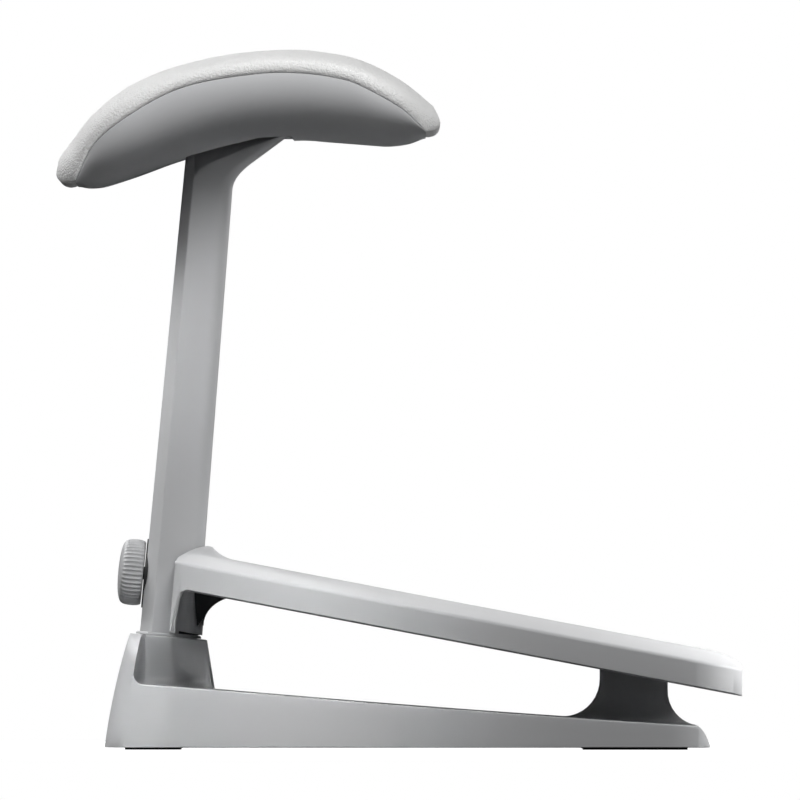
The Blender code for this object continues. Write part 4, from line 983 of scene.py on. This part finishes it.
def build_post():
    bend = HEAD_Z + HEAD_BEND
    heights = [POST_FOOT_Z, bend - HEAD_FILLET] + row(bend - HEAD_FILLET, bend + HEAD_FILLET, 12)
    heights.append(HEAD_Z + SEAT[-1][1] + 0.006)
    stations = [[(x, y, z) for x, y in head_outline(z)] for z in heights]
    corner_x = PAD_X + SEAT[1][0]
    corner_z = PAD_Z + SEAT[1][1] + SEAT_SINK
    end_x = PAD_X + SEAT[2][0] + 0.1
    rear_x = PAD_X + SEAT[0][0] - 0.1
    lift = [(rear_x, corner_z - (corner_x - rear_x) * SEAT_SLOPE), (corner_x, corner_z),
            (end_x, PAD_Z + SEAT[2][1] + SEAT_SINK), (end_x, HEAD_Z + 0.3), (rear_x, HEAD_Z + 0.3)]
    middle = -POST_DEPTH_FOOT * 0.5
    steps = [cut(neck_cut(1)), cut(neck_cut(-1)), add(wing_mesh()), cut(side_prism(lift, -0.2, 0.2)),
             cut(post_stack((POST_FOOT_Z + 0.024, HEAD_Z - 0.010), -POST_WALL)),
             cut(slot_prism(0.0, TRAVEL + GAP, middle, 0.02)),
             cut(slot_prism(KEY_LOW, TRAVEL + GAP, -POST_DEPTH_FOOT * 1.6, middle))]
    for x, y in HEAD_SCREWS:
        steps.append(cut(rod(HEAD_SCREW_HOLE, -0.018, 0.010, 24, seat_frame(x, y))))
    mesh = shaded(worked(loft(stations, "post"), steps), 24)
    piece("post_skin", mesh, "frame", "painted_casting", CAST, "post")


build_post()

# Calf pad

def pad_half(x, inset=0.0):
    return corner_half(x, SEAM_REAR - 0.012 + inset, SEAM_FRONT + 0.009 - inset, PAD_WIDTH / 2 - inset,
                       PAD_CORNER - inset, PAD_CORNER - inset)


def eased(count):
    """Shares from 0 to 1, closer together at both ends."""
    return [(1 - math.cos(math.pi * t)) / 2 for t in spread(count)]


def hull_section(x):
    """Half section of the hull: full sides under the seam that roll into a shallow bowl, with a lid on it."""
    half = pad_half(x)
    rim = seam_z(x)
    depth = max(rim - hull_z(x), 0.0008)
    shares = [0.03, 0.15, 0.27, 0.38, 0.48, 0.57, 0.65]
    shares += [math.sin(math.radians(angle)) ** (2 / HULL_POWER) for angle in numpy.linspace(16.0, 90.0, 26)]
    section = []
    for share in shares:
        side = math.sqrt(max(1 - share ** HULL_POWER, 0.0))
        fall = HULL_SIDE_SHARE * side + (1 - HULL_SIDE_SHARE) * (1 - share ** 2)
        section.append((x, half * share, rim - depth * fall))
    section.append((x, half, rim + 0.0002))
    section.append((x, half * 0.2, rim + 0.0002))
    return section


def build_shell():
    hull = loft([hull_section(lerp(SEAM_REAR, SEAM_FRONT, t)) for t in eased(PAD_STEPS)], "hull")
    (seat_rear, seat_low), (bend_x, bend_z), (seat_front, seat_high) = pad_points(SEAT)
    rear = post_rear_x(seat_low + 0.0073)
    end_x = PAD_X + POCKET_END
    floor_z = PAD_Z - 0.05
    ceiling = SEAT_SINK + GAP
    pocket = [(rear, bend_z - (bend_x - rear) * SEAT_SLOPE + ceiling), (bend_x, bend_z + ceiling),
              (end_x, seat_high + ceiling), (end_x, floor_z), (rear, floor_z)]
    notch = [(bend_x - 0.016, bend_z - 0.0045), (bend_x, bend_z - 0.0003), (end_x - 0.005, seat_high),
             (end_x, seat_high), (end_x + 0.0012, seat_high - 0.0012), (end_x + 0.0012, floor_z),
             (bend_x - 0.016, floor_z)]
    steps = [cut(side_prism(pocket, -POCKET_WIDTH / 2, POCKET_WIDTH / 2)),
             cut(side_prism(notch, -NOTCH_WIDTH / 2, NOTCH_WIDTH / 2))]
    for t in (0.20, 0.80):
        x = lerp(SEAM_REAR, SEAM_FRONT, t)
        screw_seat = seam_curve(x) - BOARD_THICK - 0.012
        for y in (-BOARD_WIDTH * 0.10, BOARD_WIDTH * 0.10):
            steps.append(cut(rod(CUSHION_SCREW_HOLE, hull_z(x) - 0.05, screw_seat, 32, at(x, y, 0))))
    mesh = shaded(worked(hull, steps), 32)
    piece("pad_shell_skin", mesh, "frame", "shell_plastic", SHELL, "pad_shell")


def cushion_low(x):
    """Underside of the cushion: it stands over the seam and ends in a round roll at the back and front."""
    if x < SEAM_REAR:
        return rear_low_z(x)
    if x > SEAM_FRONT:
        return front_low_z(x)
    return seam_z(x) + 0.0005


def cover_section(x):
    """Half section of the cushion: flat under, tucked in at the seam, a soft side and a flat crown."""
    half = pad_half(x) + PAD_OVERLAP
    low = cushion_low(x)
    rise = max(cover_z(x) - low, 0.0009)
    tuck = min(TUCK, half * 0.02, rise * 0.3)
    section = [(x, half * MIDDLE, low), (x, half * 0.75, low), (x, half - tuck * 1.6, low),
               (x, half - tuck, low + rise * 0.01)]
    for t in (0.3, 0.65):
        section.append((x, half - tuck * (1 - t) ** 2, low + rise * COVER_SIDE_SHARE * t))
    for angle in numpy.linspace(0.0, 90.0, 30)[:-1]:
        a = math.radians(angle)
        y = half * math.cos(a) ** (2 / COVER_SIDE_POWER)
        z = low + rise * lerp(COVER_SIDE_SHARE, 1.0, math.sin(a) ** (2 / COVER_TOP_POWER))
        section.append((x, max(y, half * 0.04), z))
    return section


def pucker(mesh):
    """Shallow pulls in the leather along the seam, as geometry."""
    for vertex in mesh.vertices:
        x, y, z = vertex.co
        low = cushion_low(x)
        above = (z - low) / PUCKER_HEIGHT
        if above <= 0.02 or abs(y) < pad_half(x) * 0.9:
            continue
        fade = max(1 - above, 0.0) * min(above * 6, 1.0)
        ripple = noise.noise(Vector((x * 150, math.copysign(3.0, y), z * 60)))
        vertex.co.y += math.copysign(PUCKER_DEPTH * ripple * fade, y)


def build_cushion():
    behind = (0.004, 0.015, 0.03, 0.055, 0.09, 0.13, 0.18, 0.25, 0.34, 0.46, 0.6, 0.8)
    ahead = (0.18, 0.36, 0.52, 0.66, 0.76, 0.84, 0.90, 0.945, 0.975, 0.993)
    places = [lerp(COVER_REAR, SEAM_REAR, t) for t in behind]
    places += [lerp(SEAM_REAR, SEAM_FRONT, t) for t in eased(PAD_STEPS)]
    places += [lerp(SEAM_FRONT, COVER_FRONT, t) for t in ahead]
    mesh = loft([cover_section(x) for x in places], "cover")
    pucker(mesh)
    cover = piece("pad_cushion_cover", shaded(mesh, 50), "frame", "leather", LEATHER, "pad_cushion")


build_shell()
build_cushion()

# Clamp carriage and knob

def yoke_low(x):
    """Lower edge of the yoke, which runs with the deck's slope."""
    return APRON_Z - (x - post_front_x(APRON_Z) + 0.0075) * DECK_FALL


def liner_low(x):
    """Lower edge of the liner, just over the bead on the tower. The black strip that it shows there, under
    the yoke, is painted shade in the gap below the deck.
    """
    return tower_top(x) + 0.0024


def wrap_steps(low, inner):
    """Steps that cut a sheet round the front and sides of the post to the yoke's outline in the side view."""
    rear = PIVOT_X - YOKE_REACH
    front = PIVOT_X - 0.010
    cheek = PIVOT_Z - 0.006
    outline = [(rear, low(rear)), (front, low(front)), (front, YOKE_HIGH),
               (post_front_x(YOKE_HIGH) - 0.006, YOKE_HIGH), (post_front_x(cheek) - 0.010, cheek),
               (rear + 0.0025, cheek)]
    return [keep(side_prism(outline, -0.06, 0.06)),
            cut(post_stack((APRON_Z - 0.04, YOKE_HIGH + 0.03), inner))]


def yoke_front_x(z):
    return post_front_x(z) + YOKE_OUTER + GAP


def gusset_arc():
    """The hollow lower edge of the gusset in the side view."""
    start_z = YOKE_LOW + GUSSET_RISE
    start_x = yoke_front_x(start_z)
    end_x = PIVOT_X + GUSSET_END[0]
    end_z = PIVOT_Z - GUSSET_END[1]
    points = []
    for t in spread(17):
        a = math.pi / 2 * t
        points.append((lerp(start_x, end_x, 1 - math.cos(a)), lerp(start_z, end_z, math.sin(a))))
    return points


def bracket_mesh():
    """The gusset in front of the yoke, with the boss for the tilt pin and cheeks that lap over the yoke."""
    hollow = gusset_arc()
    outline = [(yoke_front_x(YOKE_HIGH), YOKE_HIGH)] + hollow + arc(PIVOT_X, PIVOT_Z, PIVOT_BOSS, -40, 80, 16)
    below = PIVOT_Z - 0.0086
    low_arc = [point for point in hollow if point[1] < below - 0.0004]
    end = (low_arc[-1][0] + 0.0015, below)
    web = [(yoke_front_x(below), below)] + low_arc + [end]
    top = PIVOT_Z - CHEEK_TOP
    lap = [(PIVOT_X - CHEEK_BACK, top), (PIVOT_X - CHEEK_TIP[0], PIVOT_Z - CHEEK_TIP[1])]
    lap += [point for point in low_arc if point[1] > YOKE_LOW + 0.0076] + [end]
    lap += [(PIVOT_X - 0.0125, below), (PIVOT_X - 0.0130, top)]
    inner = post_half_width(PIVOT_Z - 0.03) + YOKE_OUTER + GAP
    steps = []
    for side in (1, -1):
        web_inner = side * (BRACKET_WIDTH / 2 - 0.001)
        steps.append(add(side_prism(web, web_inner, side * (inner + CHEEK_THICK / 2))))
        steps.append(add(side_prism(lap, side * inner, side * (inner + CHEEK_THICK))))
    return worked(side_prism(outline, -BRACKET_WIDTH / 2, BRACKET_WIDTH / 2), steps)


def clamp_point(out, up=0.0):
    """A point in the side view: distance out of the post's back along the clamp axis, and up the post."""
    x = CLAMP_X - out * math.cos(REAR_LEAN) + up * math.sin(REAR_LEAN)
    z = CLAMP_Z + out * math.sin(REAR_LEAN) + up * math.cos(REAR_LEAN)
    return x, z


def clamp_box(inside, outside, low, high):
    corners = ((inside, low), (inside, high), (outside, high), (outside, low))
    return [clamp_point(out, up) for out, up in corners]


def key_outline(grow):
    """The key in the side view, from inside the post's front slot out to the yoke."""
    depth = post_depth(CLAMP_Z)
    low = KEY_LOW + 0.0002 - grow
    high = KEY_LOW + 0.0002 + KEY_HEIGHT + grow
    inside = -depth + KEY_DEPTH + grow
    outside = -depth - YOKE_INNER - 0.0007 - grow
    return clamp_box(inside, outside, low, high)


def build_carriage():
    depth = post_depth(CLAMP_Z)
    stud_bore = cut(rod(STUD_DIAMETER / 2 + STUD_CLEAR, -depth - 0.0150, -depth + 0.01, 32, CLAMP_FRAME))
    heights = (APRON_Z - 0.02, YOKE_HIGH + 0.01)
    key_half = SLOT_WIDTH / 2 - 0.0004
    key = side_prism(key_outline(0.0), -key_half, key_half)
    steps = wrap_steps(yoke_low, YOKE_INNER) + [add(key), stud_bore]
    yoke = shaded(worked(post_stack(heights, YOKE_OUTER), steps))
    piece("clamp_yoke_skin", yoke, "carriage", "painted_casting", CAST, "clamp_yoke")

    # The liner's black strip below the yoke is painted shade: it darkens the gap that the deck shades
    slot = side_prism(key_outline(GAP), -key_half - GAP, key_half + GAP)
    steps = wrap_steps(liner_low, GAP) + [cut(slot), stud_bore]
    liner = shaded(worked(post_stack(heights, GAP + LINER_THICK), steps))
    piece("glide_liner_skin", liner, "carriage", "nylon", NYLON_AND_PAINTED_SHADE, "glide_liner")

    pocket = clamp_box(-depth - NUT_POCKET[0], -depth - NUT_POCKET[1], -NUT_DROP, 0.03)
    steps = [stud_bore, cut(side_prism(pocket, -NUT_HALF, NUT_HALF)),
             cut(rod(PIN_DIAMETER / 2 + PIN_CLEAR, -0.1, 0.1, 40, across(PIVOT_X, PIVOT_Z)))]
    bracket = shaded(worked(bracket_mesh(), steps))
    piece("clamp_bracket_skin", bracket, "carriage", "nylon", NYLON_AND_PAINTED_SHADE, "clamp_bracket")


# Rings of the knob and its cap: share of the thickness, share of the radius, how deep the flutes are
KNOB_LEVELS = ((0.000, 0.900, 0.0), (0.004, 0.925, 0.0), (0.03, 0.952, 0.25), (0.09, 0.975, 0.8),
               (0.18, 0.990, 1.0), (0.30, 0.998, 1.0), (0.42, 1.000, 1.0), (0.54, 0.996, 1.0),
               (0.64, 0.985, 0.95), (0.71, 0.970, 0.8), (0.765, 0.948, 0.55), (0.805, 0.922, 0.32),
               (0.84, 0.885, 0.14), (0.865, 0.850, 0.04), (0.89, 0.80, 0.0), (0.915, 0.735, 0.0),
               (0.940, 0.65, 0.0), (0.962, 0.55, 0.0), (0.9735, 0.475, 0.0), (0.9735, 0.470, 0.0),
               (0.971, 0.4665, 0.0), (0.84, 0.4665, 0.0))
CAP_LEVELS = ((0.84, 0.460, 0.0), (0.9715, 0.460, 0.0), (0.9745, 0.455, 0.0), (0.980, 0.42, 0.0),
              (0.985, 0.36, 0.0), (0.991, 0.28, 0.0), (0.996, 0.19, 0.0), (0.999, 0.10, 0.0),
              (1.0, 0.03, 0.0))


def knob_mesh(levels, count):
    """A body of rings round the clamp axis."""
    form = bmesh.new()
    radius = KNOB_DIAMETER / 2
    rings = []
    for level, share, fluted in levels:
        ring = []
        z = KNOB_STANDOFF + KNOB_THICK * level
        for i in range(count):
            angle = 2 * math.pi * i / count
            wave = (0.5 - 0.5 * math.cos(KNOB_FLUTES * angle)) ** 0.7
            r = radius * share - FLUTE_DEPTH * fluted * wave
            ring.append(form.verts.new((r * math.cos(angle), r * math.sin(angle), z)))
        rings.append(ring)
    bridge(form, rings)
    form.faces.new(reversed(rings[0]))
    form.faces.new(rings[-1])
    return mesh_of(form, "knob")


def build_washer():
    """A thin washer on the back of the post, with lips that lap over the post's rear chamfers. It is a real
    washer, and its wide black disc is also painted shade, where the knob shades the post's back.
    """
    radius = WASHER_DIAMETER / 2
    outline = [clamp_point(WASHER_BACK, up) for up in (radius, -radius)]
    for share in numpy.linspace(-1.0, 1.0, 25):
        outline.append(clamp_point(-WASHER_LIP * (1 - share ** 2), share * radius))
    steps = [keep(rod(radius, -0.01, 0.01, 72, CLAMP_FRAME)),
             cut(post_stack((CLAMP_Z - 0.05, CLAMP_Z + 0.05), WASHER_CLEAR)),
             cut(rod(STUD_DIAMETER / 2 + GAP, -0.01, 0.01, 40, CLAMP_FRAME))]
    mesh = shaded(worked(side_prism(outline, -0.03, 0.03), steps))
    # The washer's black is partly painted shade from the knob
    piece("clamp_washer_skin", mesh, "carriage", "nylon", NYLON_AND_PAINTED_SHADE, "clamp_washer")


def build_knob():
    """The grip, a domed disc with flutes round its rim that run out on the dome, and the cap in its face."""
    bore = rod(STUD_DIAMETER / 2 + PIN_CLEAR, KNOB_STANDOFF - 0.01, KNOB_STANDOFF + 0.0115, 40)
    grip = shaded(worked(knob_mesh(KNOB_LEVELS, KNOB_FLUTES * 8), [cut(bore)]), 40)
    cap = shaded(knob_mesh(CAP_LEVELS, 96), 40)
    for mesh in (grip, cap):
        mesh.transform(CLAMP_FRAME)
    piece("knob_grip_skin", grip, "knob", "knob_plastic", KNOB, "knob_grip")
    piece("knob_cap_skin", cap, "knob", "knob_plastic", KNOB, "knob_cap")


build_carriage()
build_washer()
build_knob()

# Foot deck

TOP_SHARES = (0.985, 0.96, 0.93, 0.89, 0.84, 0.78, 0.71, 0.63, 0.55, 0.48, 0.42, 0.375, 0.345, 0.32, 0.30,
              0.28, 0.262, 0.245, 0.20, 0.12, 0.04)
ARCH = ((0.0032, 0.0), (0.0036, 0.0085), (0.0043, 0.0140), (0.0050, 0.0205), (0.0063, 0.0240),
        (0.0081, 0.0264), (0.0110, 0.0278))


def deck_half(x, inset=0.0):
    return corner_half(x, DECK_REAR - 0.0038 + inset, DECK_FRONT - inset, DECK_WIDTH / 2 - inset,
                       max(DECK_REAR_CORNER - inset, 0.002), DECK_FRONT_CORNER - inset)


def deck_top(x, y, half):
    """Height of the deck's top: a crown that rounds off at both ends, and a lip round the post's front."""
    ahead = clip((DECK_FRONT - x) / CROWN_FRONT)
    behind = clip((x - DECK_REAR) / CROWN_REAR)
    ends = (0.15 + 0.85 * math.sqrt(1 - (1 - ahead) ** 2)) * math.sqrt(1 - (1 - behind) ** 2)
    front = post_front_x(crease(x) + CROWN)
    away = math.hypot(max(x - front, 0.0), max(abs(y) - post_half_width(CLAMP_Z), 0.0))
    near = clip(1 - max(away - LIP_FLAT, 0.0) / LIP_RUN)
    lip = LIP * near ** LIP_POWER * smooth((x - DECK_REAR) / CROWN_REAR)
    return crease(x) + CROWN * ends * (1 - (y / half) ** 2) + lip


def deck_section(x):
    """Half section of the deck. The apron leans with the post, and the rim of its arch is bevelled."""
    half = deck_half(x)
    away = x - DECK_REAR
    brim = deck_top(x, half, half + 0.0001)
    upright = 1 - smooth((away - 0.0062) / 0.0048)
    inside = deck_low(away)
    low = deck_low(away + RIM_BEVEL * (1 - smooth((away - 0.016) / 0.020)))
    face = max(low, inside + SKIRT_BEVEL)
    foot = [(half * MIDDLE, inside), (half - RIM_DEPTH, inside), (half - 0.0003, lerp(face, inside, 0.10)),
            (half, face + 0.0002)]
    section = [(x - (brim - z) * APRON_LEAN * upright, y, z) for y, z in foot]
    section += [(x, y, z) for y, z in arc(half - DECK_EDGE, brim - DECK_EDGE, DECK_EDGE, 0, 76, 6)]
    inner = half - DECK_EDGE
    for share in TOP_SHARES:
        reach = min(DECK_WIDTH / 2 * share, inner * share / TOP_SHARES[0] - 0.0004)
        section.append((x, reach, deck_top(x, reach, half)))
    return section


def deck_low(away):
    """Lower edge of the deck: the skirt, and an arch down to the apron at the back."""
    skirt = crease(DECK_REAR + away) - SKIRT
    if away >= ARCH[-1][0]:
        return skirt
    return min(APRON_Z + table(away, ARCH), skirt)


def deck_mesh():
    end = DECK_FRONT - DECK_REAR - 0.0003
    toe = 0.0297
    places = [0.0, 0.0008, 0.0015, 0.0019, 0.0023, 0.0026, 0.0032, 0.0036, 0.0040, 0.0043, 0.0046, 0.0050,
              0.0056, 0.0063, 0.0071, 0.0081, 0.0093, 0.0102]
    places += row(0.0110, 0.0558, 32)
    places += row(places[-1], end - toe, 11)
    places += [end - toe * (1 - math.sin(angle)) for angle in row(0.0, math.pi / 2, 21)]
    return loft([deck_section(DECK_REAR + away) for away in places], "deck")


def deck_hollow():
    stations = []
    start = DECK_REAR + DECK_WALL
    for t in (0.0, 0.03, 0.1, 0.3, 0.6, 0.85, 0.90, 0.93, 0.96, 0.985, 1.0):
        x = lerp(start, DECK_FRONT - DECK_WALL, t)
        low = APRON_Z - 0.012 if t == 0 else crease(x) - SKIRT - 0.06
        lean = (deck_top(x, 0.12, 0.135) - low) * APRON_LEAN if t == 0 else 0.0
        half = deck_half(x, DECK_WALL)
        lid_edge = crease(x) - DECK_WALL
        lid = lid_edge if t in (0.0, 1.0) else crease(x) + CROWN * 0.75 - DECK_WALL
        stations.append([(x - lean, half * MIDDLE, low), (x - lean, half, low), (x, half, lid_edge - 0.0015),
                         (x, half - 0.002, lid_edge), (x, half * 0.6, lerp(lid_edge, lid, 0.64)),
                         (x, half * 0.1, lid)])
    return loft(stations)


def notch_mesh():
    """Clearance for the post, open to the back."""
    stations = []
    for z in (APRON_Z - 0.03, CLAMP_Z + 0.05):
        half = post_half_width(APRON_Z) + NOTCH_SIDE
        front = post_front_x(z) + NOTCH_FRONT
        outline = [(front - 0.09, half * MIDDLE), (front - 0.09, half)]
        outline += arc(front - POST_CORNER, half - POST_CORNER, POST_CORNER, 90, 0, 10)
        outline.append((front, half * MIDDLE))
        stations.append([(x, y, z) for x, y in outline])
    return loft(stations)


def in_wall(x):
    """A point inside the deck's top wall, for what hangs from it."""
    return x, crease(x) + CROWN * 0.62


def lug_outline(x, z, behind, ahead, drop):
    """A lug in the side view that hangs from the deck's top wall round a pin."""
    return [in_wall(x + ahead), in_wall(x - behind), (x - behind, z + behind * 0.4 * DECK_FALL),
            (x - behind * 0.6, z - drop + behind * 0.6 * DECK_FALL),
            (x + ahead * 0.75, z - drop - ahead * 0.75 * DECK_FALL),
            (x + ahead, z + 0.002 - ahead * DECK_FALL)]


def build_deck():
    rib = [in_wall(PIVOT_X), (PIVOT_X, crease(PIVOT_X) - 0.006), (PYLON_X, crease(PYLON_X) - 0.006),
           in_wall(PYLON_X)]
    shift = slot_shift()
    slope = math.radians(DECK_SLOPE)
    reach = PIN_DIAMETER / 2 + SLOT_CLEAR
    slot = arc(PYLON_X, FRONT_PIN_Z, reach, 90 - DECK_SLOPE, 270 - DECK_SLOPE, 16)
    slot += arc(PYLON_X + shift * math.cos(slope), FRONT_PIN_Z - shift * math.sin(slope), reach,
                -90 - DECK_SLOPE, 90 - DECK_SLOPE, 16)
    steps = [cut(deck_hollow()), cut(notch_mesh())]
    rear_lug = lug_outline(PIVOT_X, PIVOT_Z, 0.011, 0.013, 0.0080)
    front_lug = lug_outline(PYLON_X, FRONT_PIN_Z, 0.012, 0.022, 0.0074)
    for side in (1, -1):
        inner = side * LUG_INNER
        outer = side * LUG_OUTER
        low, high = sorted((inner, outer))
        bush = PIN_DIAMETER / 2 + BUSH_WALL
        steps += [add(side_prism(rib, inner + side * 0.0015, outer - side * 0.0015)),
                  add(side_prism(rear_lug, inner, outer)), add(side_prism(front_lug, inner, outer)),
                  cut(side_prism(slot, inner - side * 0.01, outer + side * 0.01)),
                  cut(rod(bush, low - 0.01, high + 0.01, 48, across(PIVOT_X, PIVOT_Z)))]
    mesh = shaded(worked(deck_mesh(), steps))
    piece("foot_deck_skin", mesh, "deck", "deck_plastic", CAST, "foot_deck")


build_deck()

# Studio: floor, lights, backdrop and camera

VIEW_X = 0.0006
VIEW_Z = 0.2173
VIEW_WIDTH = 0.4982
EYE_Z = 0.10
LENS = 1620.0
SENSOR = 36.0

# Studio lights: name, place, aim, size, power, beam
BODY_AIM = (-0.05, 0.0, 0.20)
DECK_AIM = (-0.06, -0.12, 0.05)
TOE_AIM = (0.19, -0.05, 0.03)
HEEL_AIM = (-0.17, -0.12, 0.02)
KNOB_AIM = (-0.15, 0.0, 0.12)
FLOOR_AIM = (0.0, 0.0, 0.15)
POST_AIM = (-0.13, 0.0, 0.24)
HEAD_AIM = (-0.10, -0.03, 0.345)
LIGHTS = (("front", (0.076, -0.717, 0.729), BODY_AIM, 0.35, 3.55, 180.0),
          ("near", (-0.128, -0.444, 0.515), BODY_AIM, 0.20, 0.24, 180.0),
          ("post_beam", (-0.30, -0.50, 0.34), POST_AIM, 0.08, 0.009, 22.0),
          ("head_beam", (0.0, -0.22, 0.16), HEAD_AIM, 0.05, 0.0012, 20.0),
          ("deck_beam", (-0.15, -0.50, 0.35), DECK_AIM, 0.10, 0.044, 30.0),
          ("heel_beam", (-0.45, -0.45, 0.25), HEEL_AIM, 0.10, 0.017, 18.0),
          ("back_right", (1.0, 0.8, 0.6), FLOOR_AIM, 1.0, 8.0, 180.0),
          ("back", (0.0, 1.3, 0.8), FLOOR_AIM, 1.0, 3.2, 180.0),
          ("toe_high", (0.40, -0.10, 0.20), TOE_AIM, 0.08, 0.108, 70.0),
          ("toe_low", (0.36, -0.15, 0.10), TOE_AIM, 0.08, 0.030, 70.0),
          ("left_back", (-0.55, 0.25, 0.70), KNOB_AIM, 0.25, 0.91, 100.0),
          ("left_high", (-0.65, 0.0, 0.65), KNOB_AIM, 0.25, 0.40, 100.0),
          ("left_low", (-0.45, -0.10, 0.18), KNOB_AIM, 0.25, 0.020, 50.0))
AMBIENT = 0.028
FLOOR_REACH = 1.2
FLOOR_Z = -0.0004


def add_floor():
    """A plain white floor, just under the foot pads. It lights nothing, so it can't tint the object."""
    form = bmesh.new()
    bmesh.ops.create_grid(form, x_segments=2, y_segments=2, size=FLOOR_REACH)
    mesh = mesh_of(form, "floor")
    floor = show("floor", mesh)
    pale = Shader("pale floor", (0.92, 0.92, 0.92), 0.9, Emission_Color=(1.0, 1.0, 1.0, 1.0),
                  Emission_Strength=1.0)
    mesh.materials.append(pale.material)
    floor.visible_diffuse = False
    floor.visible_glossy = False
    floor.location.z = FLOOR_Z


def add_light(name, place, target, size, power, beam):
    data = bpy.data.lights.new(name, "AREA")
    data.shape = "DISK"
    data.size = size
    data.spread = math.radians(beam)
    data.energy = power
    light = show(name, data)
    light.location = place
    light.rotation_euler = (Vector(target) - Vector(place)).to_track_quat("-Z", "Y").to_euler()
    light.visible_camera = False


def add_world():
    world = bpy.data.worlds.new("studio")
    SCENE.world = world
    world.use_nodes = True
    tree = world.node_tree
    tree.nodes.clear()
    path = tree.nodes.new("ShaderNodeLightPath")
    white = tree.nodes.new("ShaderNodeBackground")
    dim = tree.nodes.new("ShaderNodeBackground")
    white.inputs["Color"].default_value = (1.0, 1.0, 1.0, 1.0)
    dim.inputs["Color"].default_value = (AMBIENT, AMBIENT, AMBIENT, 1.0)
    mix = tree.nodes.new("ShaderNodeMixShader")
    out = tree.nodes.new("ShaderNodeOutputWorld")
    tree.links.new(path.outputs["Is Camera Ray"], mix.inputs["Fac"])
    tree.links.new(dim.outputs["Background"], mix.inputs[1])
    tree.links.new(white.outputs["Background"], mix.inputs[2])
    tree.links.new(mix.outputs["Shader"], out.inputs["Surface"])


def add_camera():
    data = bpy.data.cameras.new("camera")
    data.lens = LENS
    data.sensor_width = SENSOR
    distance = LENS / SENSOR * VIEW_WIDTH
    camera = show("camera", data)
    camera.location = (VIEW_X, -distance, EYE_Z)
    camera.rotation_euler = (math.pi / 2 + math.atan((VIEW_Z - EYE_Z) / distance), 0, 0)
    data.clip_start = 1.0
    data.clip_end = distance + 10.0
    SCENE.camera = camera


add_floor()
add_world()
for light in LIGHTS:
    add_light(*light)
add_camera()
SCENE.view_settings.view_transform = "Standard"
